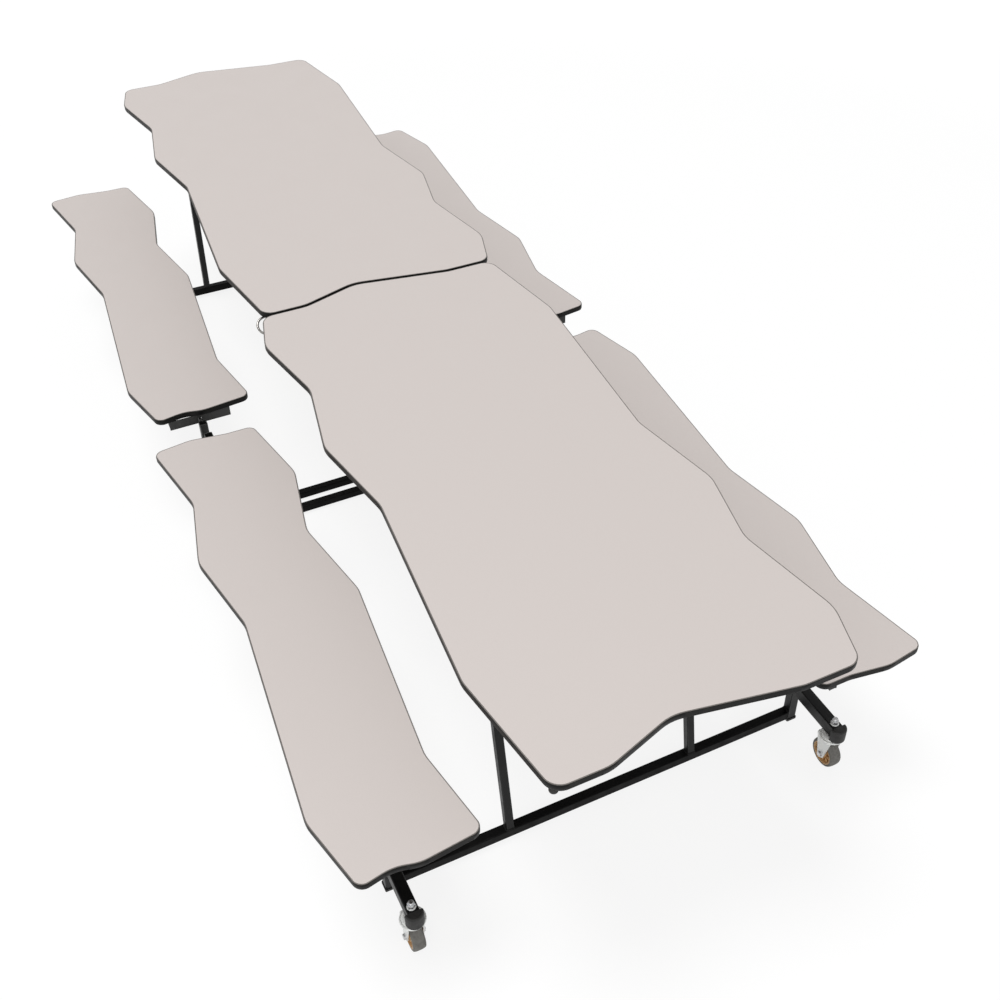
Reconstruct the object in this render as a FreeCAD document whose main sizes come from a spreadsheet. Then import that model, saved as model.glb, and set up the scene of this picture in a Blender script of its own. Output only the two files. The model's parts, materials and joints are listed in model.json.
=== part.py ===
"""Cafeteria folding table with four benches, as a parametric FreeCAD document.

Frame: +X runs along the table towards end "a", +Y towards the right-hand benches, +Z up.
The origin is on the floor at the middle of the table. All sizes are in millimetres.

Half "a" lies at +X and half "b" at -X. They meet at a hinge under the middle. Each half has a table
board, an end frame with two casters, an inner frame on the floor beside the middle, and two benches.
The pieces of the frames are drawn once for half "a" and turned half round the Z axis for half "b".
"""

import FreeCAD
import Part
import math
import os

import Sketcher
from FreeCAD import Placement, Rotation, Vector

SIZES = {
    # table and bench boards
    "top_height": 750,           # table surface above the floor
    "board_thickness": 18,
    "band_thickness": 3,         # edge band round each board
    "top_crest": 402,            # half width of the table at the crests of its wavy long edges
    "top_wave": 47,              # depth of those waves
    "top_pitch": 1829,           # one half of the table, with the gap between the halves
    "seam_gap": 10,
    "end_wave": 54,              # depth of the wave across the ends of a table board
    "end_crest": 32,             # how far that wave's crest keeps off the hinge line
    "top_shoulder": 364,         # half width at the two corners of a board's far left end
    "top_corner_radius": 40,
    "wave_radius": 110,          # rounding of crests and valleys
    "bench_height": 423,
    "bench_gap": 64,             # from the middle of the table to a bench board
    "bench_y": 582,              # middle of a bench, and its posts and casters, from the centre line
    "bench_half_length": 808,
    "bench_crest": 173,          # half width of a bench at a crest
    "bench_wave": 48,
    "bench_end_wave": 16,
    "bench_corner_radius": 26,
    # linkage
    "end_frame_x": 1440,
    "inner_frame_x": 34,
    "leg_lean": 115,             # the table legs of an end frame lean in by this much at their pins
    "leg_pivot_drop": 29,        # pins of the table legs below the underside of a table board
    "bench_pivot_drop": 24,      # bench pivots below the underside of a bench board
    "bench_pivot_out": 60,       # bench pivots stand this far outside their posts
    "running_clearance": 0.05,   # on the radius, between a pin and the piece that turns on it
    "open_pivot_clearance": 0.5,  # the same in the ears of the inner frames
    "side_gap": 1,               # between faces that pass each other
    # tubes
    "tube_wall": 1.8,
    "tube_corner": 3,
    "end_tube": 26,
    "end_bar_height": 28,
    "end_bar_bottom": 10,
    "leg_width": 22,
    "leg_y": 262,
    "inner_leg_y": 70,
    "inner_tube": 24,
    "inner_bar_bottom": 5,
    "post_gap": 4,               # between a bench post and its board
    "foot_bottom": 3,
    "foot_height": 7,
    "foot_lip": 2,
    "glide_radius": 13,
    "glide_inset": 60,
    # caster arms and casters
    "arm_width": 30,
    "arm_height": 38,
    "arm_bottom": 120,
    "arm_end": 1642,
    "arm_cap_radius": 20,
    "stem_x": 1608,
    "stem_radius": 6,
    "nut_radius": 10.5,
    "nut_height": 10,
    "stem_proud": 6,
    "washer_radius": 13,
    "washer_height": 2,
    "race_radius": 27,
    "race_height": 6,
    "crown_height": 6,
    "fork_plate": 3,
    "fork_bend": 6,              # outer radius of the bends between a fork's top and its cheeks
    "cheek_front": 22,           # a cheek's upper corners, before and behind the stem
    "cheek_back": 31,
    "trail": 5,
    "wheel_radius": 41,
    "wheel_width": 32,
    "tyre_thickness": 8,
    "hub_radius": 13,
    "web_thickness": 12,
    "axle_radius": 4,
    "axle_head_radius": 7,
    "axle_head_height": 4,
    # clevises on the table boards, and pivot pins
    "lug_thickness": 4,
    "base_thickness": 4,
    "pin_radius": 6,
    "pin_head": 3,
    "pin_head_lip": 3,           # how far a pin's head stands out round it
    "bench_pin_head_lip": 2.5,
    "eye_radius": 12,
    "clevis_base": 70,
    # centre hinge, torsion bar and lock
    "hinge_y": 200,
    "leaf_thickness": 8,
    "leaf_gap": 2,
    "leaf_eye_radius": 16,
    "leaf_start": 42,
    "leaf_length": 72,
    "leaf_flange": 14,
    "bar_radius": 7,
    "bar_nut_radius": 12,
    "bar_nut_height": 6,
    "quadrant_radius": 57,
    "fold_angle": 78,            # how far each half turns; the folded halves then lean together
    "lock_x": 18,
    "lock_drop": 19,             # lock rod below the underside of a table board
    "lock_rod_radius": 3,
    "lock_hole_radius": 4,
    "lock_gap": 1.5,
    "ring_radius": 24,
    "ring_wire_radius": 3.6,
    "ring_y": 346,
    "guide_thickness": 4,
    "guide_eye_radius": 8,
    "guide_base": 30,
    "guide_outer_y": 295,
    "guide_inner_y": 238,
    # rails and bench brackets
    "top_rail_y": 300,
    "top_rail_width": 30,
    "top_rail_depth": 12,
    "top_rail_start": 66,
    "top_rail_inset": 49,        # from the outer ends of the rails to the end of the pitch
    "rail_wall": 2,
    "bench_rail_y": 83.5,
    "bench_rail_width": 20,
    "bench_rail_depth": 22,
    "bench_rail_inner_inset": 11,  # from the rails of a bench to the ends of its board
    "bench_rail_outer_inset": 25,
    "angle_thickness": 3,
    "angle_depth": 30,
    "angle_reach": 40,
    "angle_offset": 19,          # from a bench pivot to the near face of its steel angle
    "ear_thickness": 8,
    "bench_eye_radius": 11,
    "bench_pin_radius": 5,
    "bumper_inset": 29,          # from the end of its board
    "bumper_y": 338,
    "bumper_radius": 9,
    "bumper_height": 18,
}

# Places of the crests and valleys of each wavy edge, in the order in which the outline runs. Those
# across a board's end are lengths from its middle. Those along a table board are shares of the pitch
# from its far end, and those along a bench are shares of half its length from its middle.
STATIONS = {
    "top_left": (0.0984, 0.2367, 0.3745, 0.5205, 0.8398),
    "top_right": (0.9289, 0.7791, 0.6638, 0.5172, 0.1914),
    "top_end": (-230, -66, 216),
    "bench_table_side": (-0.657, -0.343, -0.007, 0.687),
    "bench_near_end": (10, -42),
    "bench_outer_side": (0.755, -0.017, -0.347, -0.645),
    "bench_far_end": (-60, 44),
}
for edge, places in STATIONS.items():
    SIZES |= {f"{edge}_{number}": value for number, value in enumerate(places, start=1)}

doc = FreeCAD.newDocument("folding_table")
sheet = doc.addObject("Spreadsheet::Sheet", "sizes")
for row, (alias, value) in enumerate(SIZES.items(), start=1):
    sheet.set(f"A{row}", alias)
    sheet.set(f"B{row}", str(value))
    sheet.setAlias(f"B{row}", alias)
doc.recompute()


class Size:
    """A length with its spreadsheet expression, so that what is worked out from it stays bound."""

    def __init__(self, value, text):
        self.value = value
        self.text = text

    def _join(self, other, sign, swapped=False):
        other = other if isinstance(other, Size) else Size(other, repr(other))
        first, second = (other, self) if swapped else (self, other)
        results = {
            "+": lambda: first.value + second.value,
            "-": lambda: first.value - second.value,
            "*": lambda: first.value * second.value,
            "/": lambda: first.value / second.value,
        }
        return Size(results[sign](), f"({first.text} {sign} {second.text})")

    def __add__(self, other):
        return self._join(other, "+")

    def __radd__(self, other):
        return self._join(other, "+", swapped=True)

    def __sub__(self, other):
        return self._join(other, "-")

    def __rsub__(self, other):
        return self._join(other, "-", swapped=True)

    def __mul__(self, other):
        return self._join(other, "*")

    def __rmul__(self, other):
        return self._join(other, "*", swapped=True)

    def __truediv__(self, other):
        return self._join(other, "/")

    def __neg__(self):
        return self * -1

    def sine(self):
        """The sine of an angle in degrees."""
        return Size(math.sin(math.radians(self.value)), f"sin({self.text})")

    def cosine(self):
        return Size(math.cos(math.radians(self.value)), f"cos({self.text})")


class Sheet:
    """Reads a driving size by its alias: d.top_height."""

    def __getattr__(self, alias):
        return Size(float(sheet.get(alias)), f"sizes.{alias}")


d = Sheet()
ZERO = Size(0.0, "0")

# ---------------------------------------------------------------- derived sizes
board_bottom = d.top_height - d.board_thickness
bench_bottom = d.bench_height - d.board_thickness
leg_pivot_z = board_bottom - d.leg_pivot_drop
bench_pivot_z = bench_bottom - d.bench_pivot_drop
lock_z = board_bottom - d.lock_drop
hinge_z = leg_pivot_z - d.inner_frame_x
bench_x = d.bench_gap + d.bench_half_length
bench_rail_start = d.bench_gap + d.bench_rail_inner_inset
bench_rail_end = d.bench_gap + d.bench_half_length * 2 - d.bench_rail_outer_inset
fold_x = d.end_frame_x - d.leg_lean
bench_outer_x = d.end_frame_x + d.bench_pivot_out
bench_inner_x = d.inner_frame_x + (bench_outer_x - fold_x)
end_bar_top = d.end_bar_bottom + d.end_bar_height
inner_bar_top = d.inner_bar_bottom + d.inner_tube
axle_x = d.stem_x - d.trail
lug_inside = d.leg_width / 2 + d.side_gap
lug_outside = lug_inside + d.lug_thickness
bench_lug_inside = d.ear_thickness / 2 + d.side_gap
bench_lug_outside = bench_lug_inside + d.lug_thickness
fork_inside = d.wheel_width / 2 + 2 * d.side_gap
fork_outside = fork_inside + d.fork_plate
race_bottom = d.arm_bottom - d.race_height


# ---------------------------------------------------------------- drawing tools
def bind(thing, path, size):
    """Set a property of an object from a size, as an expression."""
    thing.setExpression(path, size.text)


def new_body(name):
    body = doc.addObject("PartDesign::Body", name)
    body.Label = name
    return body


def new_sketch(body, plane, offset=None):
    """A sketch on one of the body's own origin planes, moved along the plane's normal by offset."""
    sketch = body.newObject("Sketcher::SketchObject", f"{body.Name}_sketch")
    support = next(item for item in body.Origin.OriginFeatures if item.Role == f"{plane}_Plane")
    sketch.AttachmentSupport = (support, [""])
    sketch.MapMode = "FlatFace"
    if offset is not None:
        bind(sketch, "AttachmentOffset.Base.z", offset)
    return sketch


def fix_point(sketch, geometry, end, point):
    """Hold one point of a sketch at a pair of sizes."""
    for kind, size in zip(("DistanceX", "DistanceY"), point):
        index = sketch.addConstraint(Sketcher.Constraint(kind, -1, 1, geometry, end, size.value))
        sketch.setExpression(f"Constraints[{index}]", size.text)


def flat(point):
    return Vector(point[0].value, point[1].value, 0)


def add_polygon(sketch, points):
    first = sketch.GeometryCount
    for start, end in zip(points, points[1:] + points[:1]):
        sketch.addGeometry(Part.LineSegment(flat(start), flat(end)), False)
    for index in range(len(points)):
        following = first + (index + 1) % len(points)
        sketch.addConstraint(Sketcher.Constraint("Coincident", first + index, 2, following, 1))
        fix_point(sketch, first + index, 1, points[index])


def add_rectangle(sketch, low, high):
    add_polygon(sketch, [low, (high[0], low[1]), high, (low[0], high[1])])


def add_circle(sketch, centre, radius):
    circle = sketch.addGeometry(Part.Circle(flat(centre), Vector(0, 0, 1), radius.value), False)
    fix_point(sketch, circle, 3, centre)
    index = sketch.addConstraint(Sketcher.Constraint("Radius", circle, radius.value))
    sketch.setExpression(f"Constraints[{index}]", radius.text)


def tangent_angle(point, centre, radius, side):
    """Direction, seen from the centre, in which a line from point touches the circle."""
    gap = flat(point) - flat(centre)
    spread = math.acos(radius.value / gap.Length)
    return math.atan2(gap.y, gap.x) + side * spread


def add_teardrop(sketch, left, right, centre, radius):
    """A lug below its base: the base from left to right, and two lines tangent to a round eye."""
    start = tangent_angle(left, centre, radius, 1)
    end = tangent_angle(right, centre, radius, -1)
    while end < start:
        end += 2 * math.pi
    middle = flat(centre)
    touch = [
        middle + Vector(math.cos(angle), math.sin(angle), 0) * radius.value for angle in (start, end)
    ]
    base = sketch.addGeometry(Part.LineSegment(flat(right), flat(left)), False)
    down = sketch.addGeometry(Part.LineSegment(flat(left), touch[0]), False)
    circle = Part.Circle(middle, Vector(0, 0, 1), radius.value)
    eye = sketch.addGeometry(Part.ArcOfCircle(circle, start, end), False)
    up = sketch.addGeometry(Part.LineSegment(touch[1], flat(right)), False)
    sketch.addConstraint(Sketcher.Constraint("Coincident", base, 2, down, 1))
    sketch.addConstraint(Sketcher.Constraint("Coincident", up, 2, base, 1))
    sketch.addConstraint(Sketcher.Constraint("Tangent", down, 2, eye, 1))
    sketch.addConstraint(Sketcher.Constraint("Tangent", eye, 2, up, 1))
    fix_point(sketch, base, 1, right)
    fix_point(sketch, base, 2, left)
    fix_point(sketch, eye, 3, centre)
    index = sketch.addConstraint(Sketcher.Constraint("Radius", eye, radius.value))
    sketch.setExpression(f"Constraints[{index}]", radius.text)


def feature(body, kind, sketch, length, symmetric=False, reverse=False):
    """Pad or Pocket a sketch, one way or both ways from its plane."""
    made = body.newObject(f"PartDesign::{kind}", f"{body.Name}_{kind.lower()}")
    made.Profile = sketch
    bind(made, "Length", length)
    made.SideType = "Symmetric" if symmetric else "One side"
    made.Reversed = reverse
    sketch.Visibility = False
    return made


def pad(body, sketch, length, symmetric=False, reverse=False):
    return feature(body, "Pad", sketch, length, symmetric, reverse)


def pocket(body, sketch, length, symmetric=False, reverse=False):
    return feature(body, "Pocket", sketch, length, symmetric, reverse)


def fillet(body, base, edges, radius):
    made = body.newObject("PartDesign::Fillet", f"{body.Name}_fillet")
    made.Base = (base, edges)
    bind(made, "Radius", radius)
    return made


def edges_at(shape, points, axis):
    """Names of the edges that rise from any of the points of a sketch whose normal is an axis."""
    names = []
    others = [letter for letter in "xyz" if letter != axis]
    for number, edge in enumerate(shape.Edges, start=1):
        ends = sorted((vertex.Point for vertex in edge.Vertexes), key=lambda p: abs(getattr(p, axis)))
        if len(ends) < 2 or abs(getattr(ends[0] - ends[1], axis)) < 1e-6:
            continue
        foot = [getattr(ends[0], item) for item in others]
        if any(math.dist(foot, point) < 0.01 for point in points):
            names.append(f"Edge{number}")
    return names


HALVES = {"a": 1, "b": -1}
SIDES = {"left": -1, "right": 1}


def drawn_hand(side, half):
    """Which way along Y a side's piece is drawn, so that after any half turn it lies on its side."""
    return SIDES[side] * HALVES[half]


def place(thing, x, y, z, half="a"):
    """Put an object where it stands in half "a", or half round the Z axis from there for half "b"."""
    sign = HALVES[half]
    turn = Rotation(Vector(0, 0, 1), 0 if sign > 0 else 180)
    thing.Placement = Placement(Vector(0, 0, 0), turn)
    bind(thing, "Placement.Base.x", x * sign)
    bind(thing, "Placement.Base.y", y * sign)
    bind(thing, "Placement.Base.z", z)


def group(name, members):
    """One node of separate solids that belong together."""
    made = doc.addObject("Part::Compound", name)
    made.Label = name
    made.Links = members
    nodes.append(made)


nodes = []


def keep(thing, name):
    thing.Label = name
    nodes.append(thing)


# ---------------------------------------------------------------- tubes
TUBE_PLANES = {"X": "YZ", "Y": "XZ", "Z": "XY"}


def tube(name, axis, across, up, length, lean=None):
    """A square tube with rounded edges, from its own origin along an axis of the table.

    across and up are its outer sizes in the sketch plane. lean is how far a vertical tube moves
    towards -X per unit of its height.
    """
    body = new_body(name)
    sketch = new_sketch(body, TUBE_PLANES[axis])
    corner = (across / 2, up / 2)
    bore = (across / 2 - d.tube_wall, up / 2 - d.tube_wall)
    add_rectangle(sketch, (-corner[0], -corner[1]), corner)
    add_rectangle(sketch, (-bore[0], -bore[1]), bore)
    solid = pad(body, sketch, length, reverse=axis == "Y")
    if lean is not None:
        solid.UseCustomVector = True
        solid.AlongSketchNormal = True
        solid.Direction = Vector(0, 0, 1)
        bind(solid, "Direction.x", -lean)
    doc.recompute()
    corners = [(corner[0].value * i, corner[1].value * j) for i in (-1, 1) for j in (-1, 1)]
    fillet(body, solid, edges_at(solid.Shape, corners, axis.lower()), d.tube_corner)
    return body


def pin_hole(body, x, height):
    """A running hole for a table pin, sideways through a leg."""
    sketch = new_sketch(body, "XZ")
    add_circle(sketch, (x, height), d.pin_radius + d.running_clearance)
    pocket(body, sketch, d.leg_width * 2, symmetric=True)


# ---------------------------------------------------------------- boards
def board(name, sides, corner_radius, x, y, z, angle):
    """A board with an edge band. sides are the four runs of the band's outside, each from a corner."""
    blank = new_body(f"{name}_blank")
    sketch = new_sketch(blank, "XY")
    add_polygon(sketch, [point for run in sides for point in run])
    solid = pad(blank, sketch, d.board_thickness)
    corners = [run[0] for run in sides]
    waves = [point for run in sides for point in run[1:]]
    for points, radius in ((corners, corner_radius), (waves, d.wave_radius)):
        doc.recompute()
        spots = [(point[0].value, point[1].value) for point in points]
        solid = fillet(blank, solid, edges_at(solid.Shape, spots, "z"), radius)
    blank.Placement = Placement(Vector(0, 0, 0), Rotation(Vector(0, 0, 1), angle))
    bind(blank, "Placement.Base.x", x)
    bind(blank, "Placement.Base.y", y)
    bind(blank, "Placement.Base.z", z)
    doc.recompute()
    flats = [
        f"Face{number}"
        for number, face in enumerate(blank.Shape.Faces, start=1)
        if abs(face.normalAt(0, 0).z) > 0.99
    ]
    band = doc.addObject("Part::Thickness", f"{name}_edge")
    band.Faces = (blank, flats)
    band.Join = 2
    bind(band, "Value", -d.band_thickness)
    core = doc.addObject("Part::Cut", f"{name}_board")
    core.Base = blank
    core.Tool = band
    keep(core, f"{name}_board")
    keep(band, f"{name}_edge")


def stations(edge, unit=1):
    """Places of the crests and valleys along a wavy edge."""
    return [getattr(d, f"{edge}_{number}") * unit for number in range(1, len(STATIONS[edge]) + 1)]


def top_sides():
    """Left, near, right and far edges of a table board, each from its first corner.

    The near end is the far end moved by one pitch less the gap, so that the halves nest.
    """
    crest = d.top_crest
    valley = d.top_crest - d.top_wave
    wave = (crest, valley, crest, valley, crest)
    across = (d.end_crest, d.end_crest - d.end_wave, d.end_crest)
    far_end = list(zip(across, stations("top_end")))
    shift = d.top_pitch - d.seam_gap
    left = [(x, -y) for x, y in zip(stations("top_left", d.top_pitch), wave)]
    right = zip(stations("top_right", d.top_pitch), wave)
    return [
        [(d.end_crest, -d.top_shoulder), *left],
        [(shift + d.end_crest, -valley), *((shift + x, y) for x, y in far_end)],
        [(shift + d.end_crest, valley), *right],
        [(d.end_crest, valley), *reversed(far_end)],
    ]


def bench_sides():
    """Edges of a bench board about its middle: beside the table (+Y on the left), near, outer, far."""
    crest = d.bench_crest
    valley = d.bench_crest - d.bench_wave
    reach = d.bench_half_length
    inner = d.bench_half_length - d.bench_end_wave
    table_side = zip(stations("bench_table_side", reach), (crest, valley, crest, valley))
    outer_side = zip(stations("bench_outer_side", reach), (-crest, -valley, -crest, -valley))
    return [
        [(-inner, valley), *table_side],
        [(inner, crest * 0.95), *zip((reach, inner), stations("bench_near_end"))],
        [(reach, -valley), *outer_side],
        [(-inner, -crest), *zip((-reach, -inner), stations("bench_far_end"))],
    ]


def make_boards():
    for half, shift in (("a", ZERO), ("b", -d.top_pitch)):
        board(f"top_{half}", top_sides(), d.top_corner_radius, shift, ZERO, board_bottom, 0)
    for half, sign in HALVES.items():
        for side, hand in SIDES.items():
            board(f"bench_{side}_{half}", bench_sides(), d.bench_corner_radius,
                  bench_x * sign, d.bench_y * hand, bench_bottom, 0 if hand < 0 else 180)


# ---------------------------------------------------------------- rails
def channel(name, width, depth, length):
    """A steel channel along X with its open side down, hanging from z = 0."""
    body = new_body(name)
    sketch = new_sketch(body, "YZ")
    half = width / 2
    inner = half - d.rail_wall
    add_polygon(sketch, [
        (-half, ZERO), (-half, -depth), (-inner, -depth), (-inner, -d.rail_wall),
        (inner, -d.rail_wall), (inner, -depth), (half, -depth), (half, ZERO),
    ])
    pad(body, sketch, length)
    return body


def make_top_rails(half):
    rails = []
    for side, hand in SIDES.items():
        rail = channel(f"top_rail_{side}_{half}", d.top_rail_width, d.top_rail_depth,
                       d.top_pitch - d.top_rail_inset - d.top_rail_start)
        place(rail, d.top_rail_start, d.top_rail_y * hand, board_bottom, half)
        rails.append(rail)
    group(f"top_rails_{half}", rails)


# ---------------------------------------------------------------- pins
def headed_pin(name, radius, head_radius, reach, head):
    """A pin along Y about its own origin, with a flat head at each end outside the reach."""
    body = new_body(name)
    sketch = new_sketch(body, "XZ")
    add_circle(sketch, (ZERO, ZERO), radius)
    pad(body, sketch, (reach + head) * 2, symmetric=True)
    for reverse in (False, True):
        cap = new_sketch(body, "XZ", -reach if reverse else reach)
        add_circle(cap, (ZERO, ZERO), head_radius)
        pad(body, cap, head, reverse=reverse)
    return body


# ---------------------------------------------------------------- clevises under the table boards
def clevis(name, base_start, base_end):
    """Two lugs and a base plate that hold a leg's pin; the pin is at the origin, along Y."""
    body = new_body(name)
    sketch = new_sketch(body, "XZ")
    top = d.leg_pivot_drop
    add_teardrop(sketch, (base_start, top), (base_end, top), (ZERO, ZERO), d.eye_radius)
    pad(body, sketch, lug_outside * 2, symmetric=True)
    slot = new_sketch(body, "XZ")
    under = top - d.base_thickness
    far = d.eye_radius * 12
    add_rectangle(slot, (-far, -far), (far, under))
    pocket(body, slot, lug_inside * 2, symmetric=True)
    plate = new_sketch(body, "XY", under)
    half = lug_outside + d.side_gap * 3
    add_rectangle(plate, (base_start, -half), (base_end, half))
    pad(body, plate, d.base_thickness)
    bore = new_sketch(body, "XZ")
    add_circle(bore, (ZERO, ZERO), d.pin_radius)
    pocket(body, bore, lug_outside * 4, symmetric=True)
    return body


def make_clevises(half):
    """Outer and inner clevises of a table board, with the pins pressed into them."""
    members = []
    near = d.clevis_base / 2
    start = d.leaf_start - d.inner_frame_x
    spots = (
        ("outer", fold_x, d.leg_y, -near, near),
        ("inner", d.inner_frame_x, d.inner_leg_y, start, start + d.clevis_base),
    )
    for spot, x, y, base_start, base_end in spots:
        for side, hand in SIDES.items():
            name = f"clevis_{spot}_{side}_{half}"
            bracket = clevis(name, base_start, base_end)
            pin = headed_pin(f"{name}_pin", d.pin_radius, d.pin_radius + d.pin_head_lip, lug_outside,
                             d.pin_head)
            for thing in (bracket, pin):
                place(thing, x, y * hand, leg_pivot_z, half)
                members.append(thing)
    group(f"top_clevises_{half}", members)


# ---------------------------------------------------------------- centre hinge and lock
def hinge_leaf(name, quadrant):
    """A leaf plate that hangs from a board to the hinge axis at the origin, along Y.

    The leaf with the quadrant has a round plate with the two lock holes: one for the open table, and
    one that the fold brings to the same place.
    """
    body = new_body(name)
    rise = board_bottom - hinge_z
    start = d.leaf_start
    end = d.leaf_start + d.leaf_length
    sketch = new_sketch(body, "XZ")
    add_teardrop(sketch, (start, rise), (end, rise), (ZERO, ZERO), d.leaf_eye_radius)
    pad(body, sketch, d.leaf_thickness, symmetric=True)
    if quadrant:
        disc = new_sketch(body, "XZ")
        add_circle(disc, (ZERO, ZERO), d.quadrant_radius)
        pad(body, disc, d.leaf_thickness, symmetric=True)
        holes = new_sketch(body, "XZ")
        rise_to_lock = lock_z - hinge_z
        sine = (d.fold_angle * 2).sine()
        cosine = (d.fold_angle * 2).cosine()
        add_circle(holes, (-d.lock_x, rise_to_lock), d.lock_hole_radius)
        add_circle(holes, (-d.lock_x * cosine - rise_to_lock * sine,
                           rise_to_lock * cosine - d.lock_x * sine), d.lock_hole_radius)
        pocket(body, holes, d.leaf_thickness * 2, symmetric=True)
    plate = new_sketch(body, "XY", rise - d.base_thickness)
    half = d.leaf_thickness / 2 + d.leaf_flange
    add_rectangle(plate, (start, -half), (end, half))
    pad(body, plate, d.base_thickness)
    return body


def make_hinge(half):
    """Two leaves of one half. Those of half "b" stand outside those of half "a" and turn on the bar.

    The left leaf of half "b" has the quadrant.
    """
    leaves = []
    outside = half == "b"
    shift = d.leaf_thickness + d.leaf_gap if outside else ZERO
    radius = d.bar_radius + d.running_clearance if outside else d.bar_radius
    for side in SIDES:
        leaf = hinge_leaf(f"hinge_leaf_{side}_{half}", outside and side == "left")
        bore = new_sketch(leaf, "XZ")
        add_circle(bore, (ZERO, ZERO), radius)
        pocket(leaf, bore, d.leaf_thickness * 2, symmetric=True)
        place(leaf, ZERO, (d.hinge_y + shift) * drawn_hand(side, half), hinge_z, half)
        leaves.append(leaf)
    group(f"hinge_leaves_{half}", leaves)


def make_torsion_bar():
    """The bar on the hinge axis, fixed in the leaves of half "a", with a nut at each end."""
    reach = d.hinge_y + d.leaf_thickness * 1.5 + d.leaf_gap + d.side_gap / 2
    bar = headed_pin("torsion_bar", d.bar_radius, d.bar_nut_radius, reach, d.bar_nut_height)
    place(bar, ZERO, ZERO, hinge_z)
    keep(bar, "torsion_bar")


def make_lock():
    """Release ring and lock rod, shown with the rod's tip just clear of the quadrant."""
    quadrant_face = d.hinge_y + d.leaf_thickness * 1.5 + d.leaf_gap
    tip = quadrant_face + d.lock_gap
    rod = new_body("lock_rod")
    sketch = new_sketch(rod, "XZ")
    add_circle(sketch, (ZERO, ZERO), d.lock_rod_radius)
    rod_end = d.ring_y - d.ring_radius
    pad(rod, sketch, rod_end - tip, reverse=True)
    place(rod, d.lock_x, -rod_end, lock_z)
    ring = doc.addObject("Part::Torus", "lock_ring")
    bind(ring, "Radius1", d.ring_radius)
    bind(ring, "Radius2", d.ring_wire_radius)
    place(ring, d.lock_x, -d.ring_y, lock_z)
    handle = doc.addObject("Part::MultiFuse", "release_handle")
    handle.Shapes = [rod, ring]
    keep(handle, "release_handle")
    guides = []
    top = d.lock_drop
    start = d.inner_frame_x - d.lock_x
    for number, y in enumerate((d.guide_outer_y, d.guide_inner_y), start=1):
        guide = new_body(f"lock_guide_{number}")
        sketch = new_sketch(guide, "XZ")
        add_teardrop(sketch, (start, top), (start + d.guide_base, top), (ZERO, ZERO),
                     d.guide_eye_radius)
        add_circle(sketch, (ZERO, ZERO), d.lock_rod_radius + 2 * d.running_clearance)
        pad(guide, sketch, d.guide_thickness, symmetric=True)
        place(guide, d.lock_x, -y, lock_z)
        guides.append(guide)
    group("lock_guides", guides)


def make_bumper(half):
    """A rubber bumper under the outer corner of a table board."""
    bumper = new_body(f"bumper_{half}")
    sketch = new_sketch(bumper, "XY")
    add_circle(sketch, (ZERO, ZERO), d.bumper_radius)
    solid = pad(bumper, sketch, d.bumper_height, reverse=True)
    doc.recompute()
    chamfer = bumper.newObject("PartDesign::Chamfer", f"bumper_{half}_chamfer")
    low_edge = min(range(len(solid.Shape.Edges)), key=lambda i: solid.Shape.Edges[i].BoundBox.ZMax)
    chamfer.Base = (solid, [f"Edge{low_edge + 1}"])
    bind(chamfer, "Size", d.bumper_radius / 4)
    board_end = d.top_pitch + (d.end_crest - d.seam_gap if half == "a" else -d.end_crest)
    place(bumper, board_end - d.bumper_inset, -d.bumper_y, board_bottom, half)
    keep(bumper, f"bumper_{half}")


# ---------------------------------------------------------------- frames
def ear(name, reach, clearance):
    """The plate on a post that carries a bench pin; the pin is at the origin and the post at -X."""
    body = new_body(name)
    sketch = new_sketch(body, "XZ")
    add_teardrop(sketch, (-reach, -d.bench_eye_radius * 1.5), (-reach, d.bench_eye_radius),
                 (ZERO, ZERO), d.bench_eye_radius)
    add_circle(sketch, (ZERO, ZERO), d.bench_pin_radius + clearance)
    pad(body, sketch, d.ear_thickness, symmetric=True)
    return body


def make_post(spot, side, half, x, width, bottom, pivot_x, clearance):
    """A bench post with the ear that reaches out to its bench pivot."""
    hand = SIDES[side]
    post = tube(f"{spot}_post_{side}_{half}", "Z", width, width, bench_bottom - d.post_gap - bottom)
    place(post, x, d.bench_y * hand, bottom, half)
    plate = ear(f"{spot}_ear_{side}_{half}", pivot_x - x - width / 2, clearance)
    place(plate, pivot_x, d.bench_y * hand, bench_pivot_z, half)
    return [post, plate]


def plug(name, width, height, lip):
    """A plastic foot: a block under a post, with a lip round it."""
    body = new_body(name)
    sketch = new_sketch(body, "XY")
    side = width / 2 + lip
    add_rectangle(sketch, (-side, -side), (side, side))
    solid = pad(body, sketch, height)
    doc.recompute()
    corners = [(side.value * i, side.value * j) for i in (-1, 1) for j in (-1, 1)]
    fillet(body, solid, edges_at(solid.Shape, corners, "z"), d.tube_corner)
    return body


def half_round(sketch, radius):
    """A half disc on the +X side of the sketch's origin."""
    top = (ZERO, radius)
    bottom = (ZERO, -radius)
    line = sketch.addGeometry(Part.LineSegment(flat(top), flat(bottom)), False)
    circle = Part.Circle(Vector(0, 0, 0), Vector(0, 0, 1), radius.value)
    arc = sketch.addGeometry(Part.ArcOfCircle(circle, -math.pi / 2, math.pi / 2), False)
    sketch.addConstraint(Sketcher.Constraint("Coincident", line, 2, arc, 1))
    sketch.addConstraint(Sketcher.Constraint("Coincident", arc, 2, line, 1))
    fix_point(sketch, line, 1, top)
    fix_point(sketch, line, 2, bottom)
    sketch.addConstraint(Sketcher.Constraint("PointOnObject", arc, 3, line))


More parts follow.
